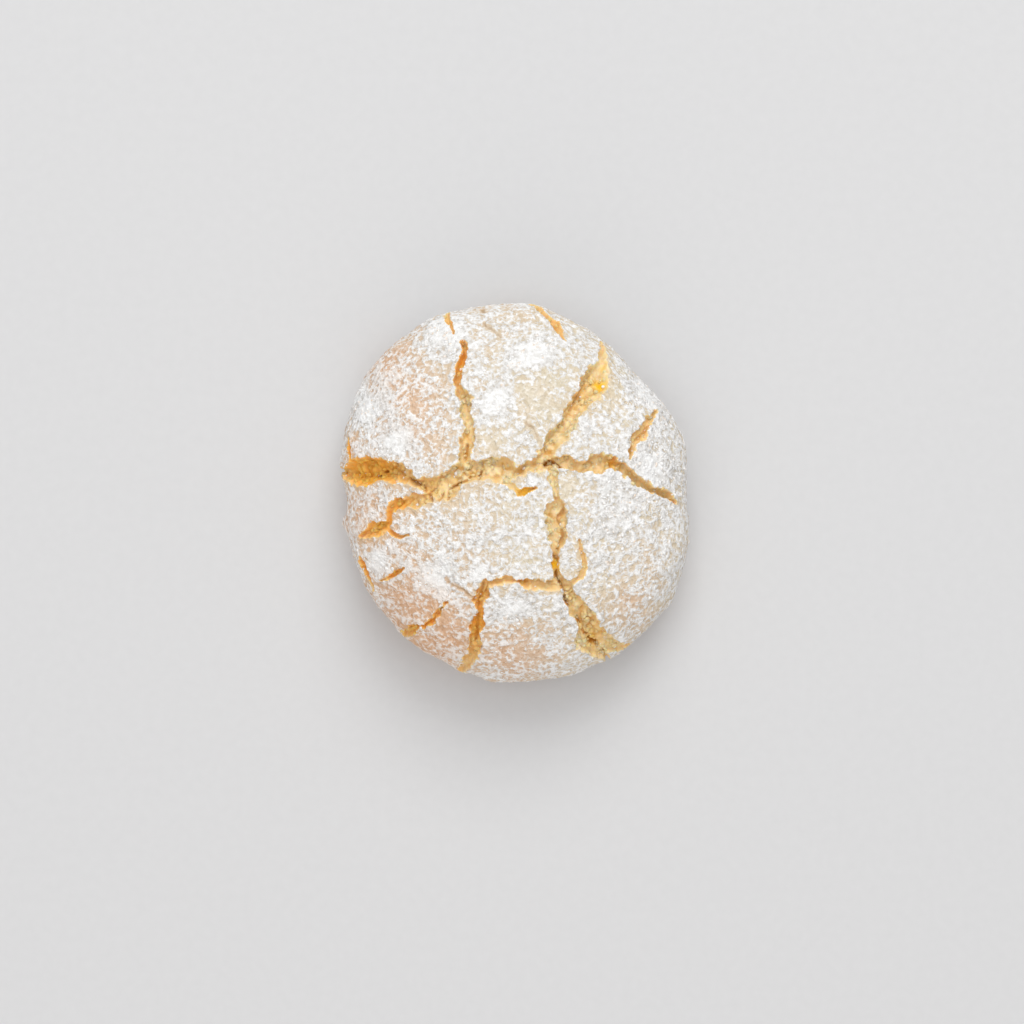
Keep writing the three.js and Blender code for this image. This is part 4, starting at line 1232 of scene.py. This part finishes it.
def make_sugar_clumps(points, faces, slots, marks, material):
    """Clumps of caked sugar, most of them where much of it lies and few in the cracks."""
    draw = np.random.default_rng(SEED)
    sugar = np.clip(marks["sugar"], 0, 1.2)[faces].mean(axis=1)
    patches = smooth_noise(points[faces].mean(axis=1), CLUMP_PATCH, CLUMP_PATCH_LAYER)
    patchy = ease_between(patches, -0.35, 0.35)
    above_tray = points[faces][:, :, 2].min(axis=1) > CLUMPS_FROM_HEIGHT
    caked = marks["caked"][faces].mean(axis=1)
    on_crust = sugar ** 2 * (0.25 + patchy) * (1 - 0.6 * caked)
    weights = np.where(slots == CRUST_SLOT, on_crust, CLUMPS_IN_CRACKS) * above_tray * (slots != BASE_SLOT)
    _, places, out = places_on(points, faces, weights, SUGAR_CLUMPS, draw)
    radii = drawn_radii(CLUMP_RADII, 2.2, SUGAR_CLUMPS, draw)
    return scatter_lumps("sugar_clumps", material, places, out, radii, 1, CLUMP_THICKNESS, draw)


def make_crumb_grains(points, faces, slots, marks, material):
    """Round grains of crumb that tore loose in the cracks."""
    draw = np.random.default_rng(SEED)
    crumb = marks["crumb"][faces].min(axis=1)
    weights = (slots == CRUMB_SLOT) * crumb ** 4 + 1e-12
    chosen, places, out = places_on(points, faces, weights, CRUMB_GRAINS, draw)
    radii = drawn_radii(GRAIN_RADII, 1.6, CRUMB_GRAINS, draw)
    sunk = places - GRAIN_SUNK * out
    subdivisions = 2
    piece = scatter_lumps("crumb_grains", material, sunk, out, radii, subdivisions, GRAIN_THICKNESS, draw)
    each = len(ball(subdivisions)[0])
    of_face = faces[chosen][:, 0]
    grain_marks = {name: np.repeat(marks[name][of_face], each) for name in ("orange", "yolk")}
    # Each grain gets a random tone through the same mark that carries painted shade in the crumb's hollows.
    grain_marks["deep"] = np.repeat(0.35 * draw.random(CRUMB_GRAINS), each)
    add_marks(piece, grain_marks)
    return piece


# The studio

def make_camera():
    """Straight above, as far and as long a lens as in the photograph."""
    photo_size = 1024
    focal_pixels = 2600
    above_table = 400
    cookie_pixel = (515, 493)
    camera = bpy.data.cameras.new("camera")
    camera.sensor_width = 36
    camera.lens = camera.sensor_width * focal_pixels / photo_size
    seen = bpy.data.objects.new("camera", camera)
    for_each_pixel = (above_table - WIDEST_HEIGHT) / focal_pixels
    x = (photo_size / 2 - cookie_pixel[0]) * for_each_pixel
    y = (cookie_pixel[1] - photo_size / 2) * for_each_pixel
    seen.location = (x * MM, y * MM, above_table * MM)
    bpy.context.scene.collection.objects.link(seen)
    bpy.context.scene.camera = seen


def make_floor():
    half = 1500
    corners = np.array([(-half, -half, 0), (half, -half, 0), (half, half, 0), (-half, half, 0)], float)
    floor = new_piece("studio_floor", corners, [(0, 1, 2, 3)], [matt_studio_card()], smooth=False)


def make_light(name, place, size, watts, hex_colour):
    """A square soft light that faces the cookie. Its place and size are in metres."""
    light = bpy.data.lights.new(name, "AREA")
    light.size = size
    light.energy = watts
    light.color = linear(hex_colour)[:3]
    lamp = bpy.data.objects.new(name, light)
    lamp.location = place
    lamp.rotation_euler = (-lamp.location).to_track_quat("-Z", "Y").to_euler()
    bpy.context.scene.collection.objects.link(lamp)


def light_studio():
    make_light("window_light", (0.1, 0.7, 0.75), 0.6, 5.3, "#fffefb")
    make_light("top_light", (-0.1, 0.05, 1.0), 0.9, 2.6, "#fffefb")
    make_light("fill_light", (-0.1, -0.8, 0.5), 0.9, 2.1, "#fff4e6")
    world = bpy.data.worlds.new("studio")
    world.use_nodes = True
    air = world.node_tree.nodes["Background"]
    air.inputs["Color"].default_value = linear("#f2f4f8")
    air.inputs["Strength"].default_value = 0.57
    bpy.context.scene.world = world
    bpy.context.scene.view_settings.view_transform = "Standard"


crust_finish, crumb_finish = icing_sugared_crust(), torn_almond_crumb()
cookie, *surface = make_cookie([crust_finish, crumb_finish, oven_browned_base()])
pieces = [
    cookie,
    make_sugar_clumps(*surface, caked_icing_sugar()),
    make_crumb_grains(*surface, crumb_finish),
]
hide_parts("cookie")
for piece in pieces:
    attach(piece, "root")

make_floor()
light_studio()
make_camera()
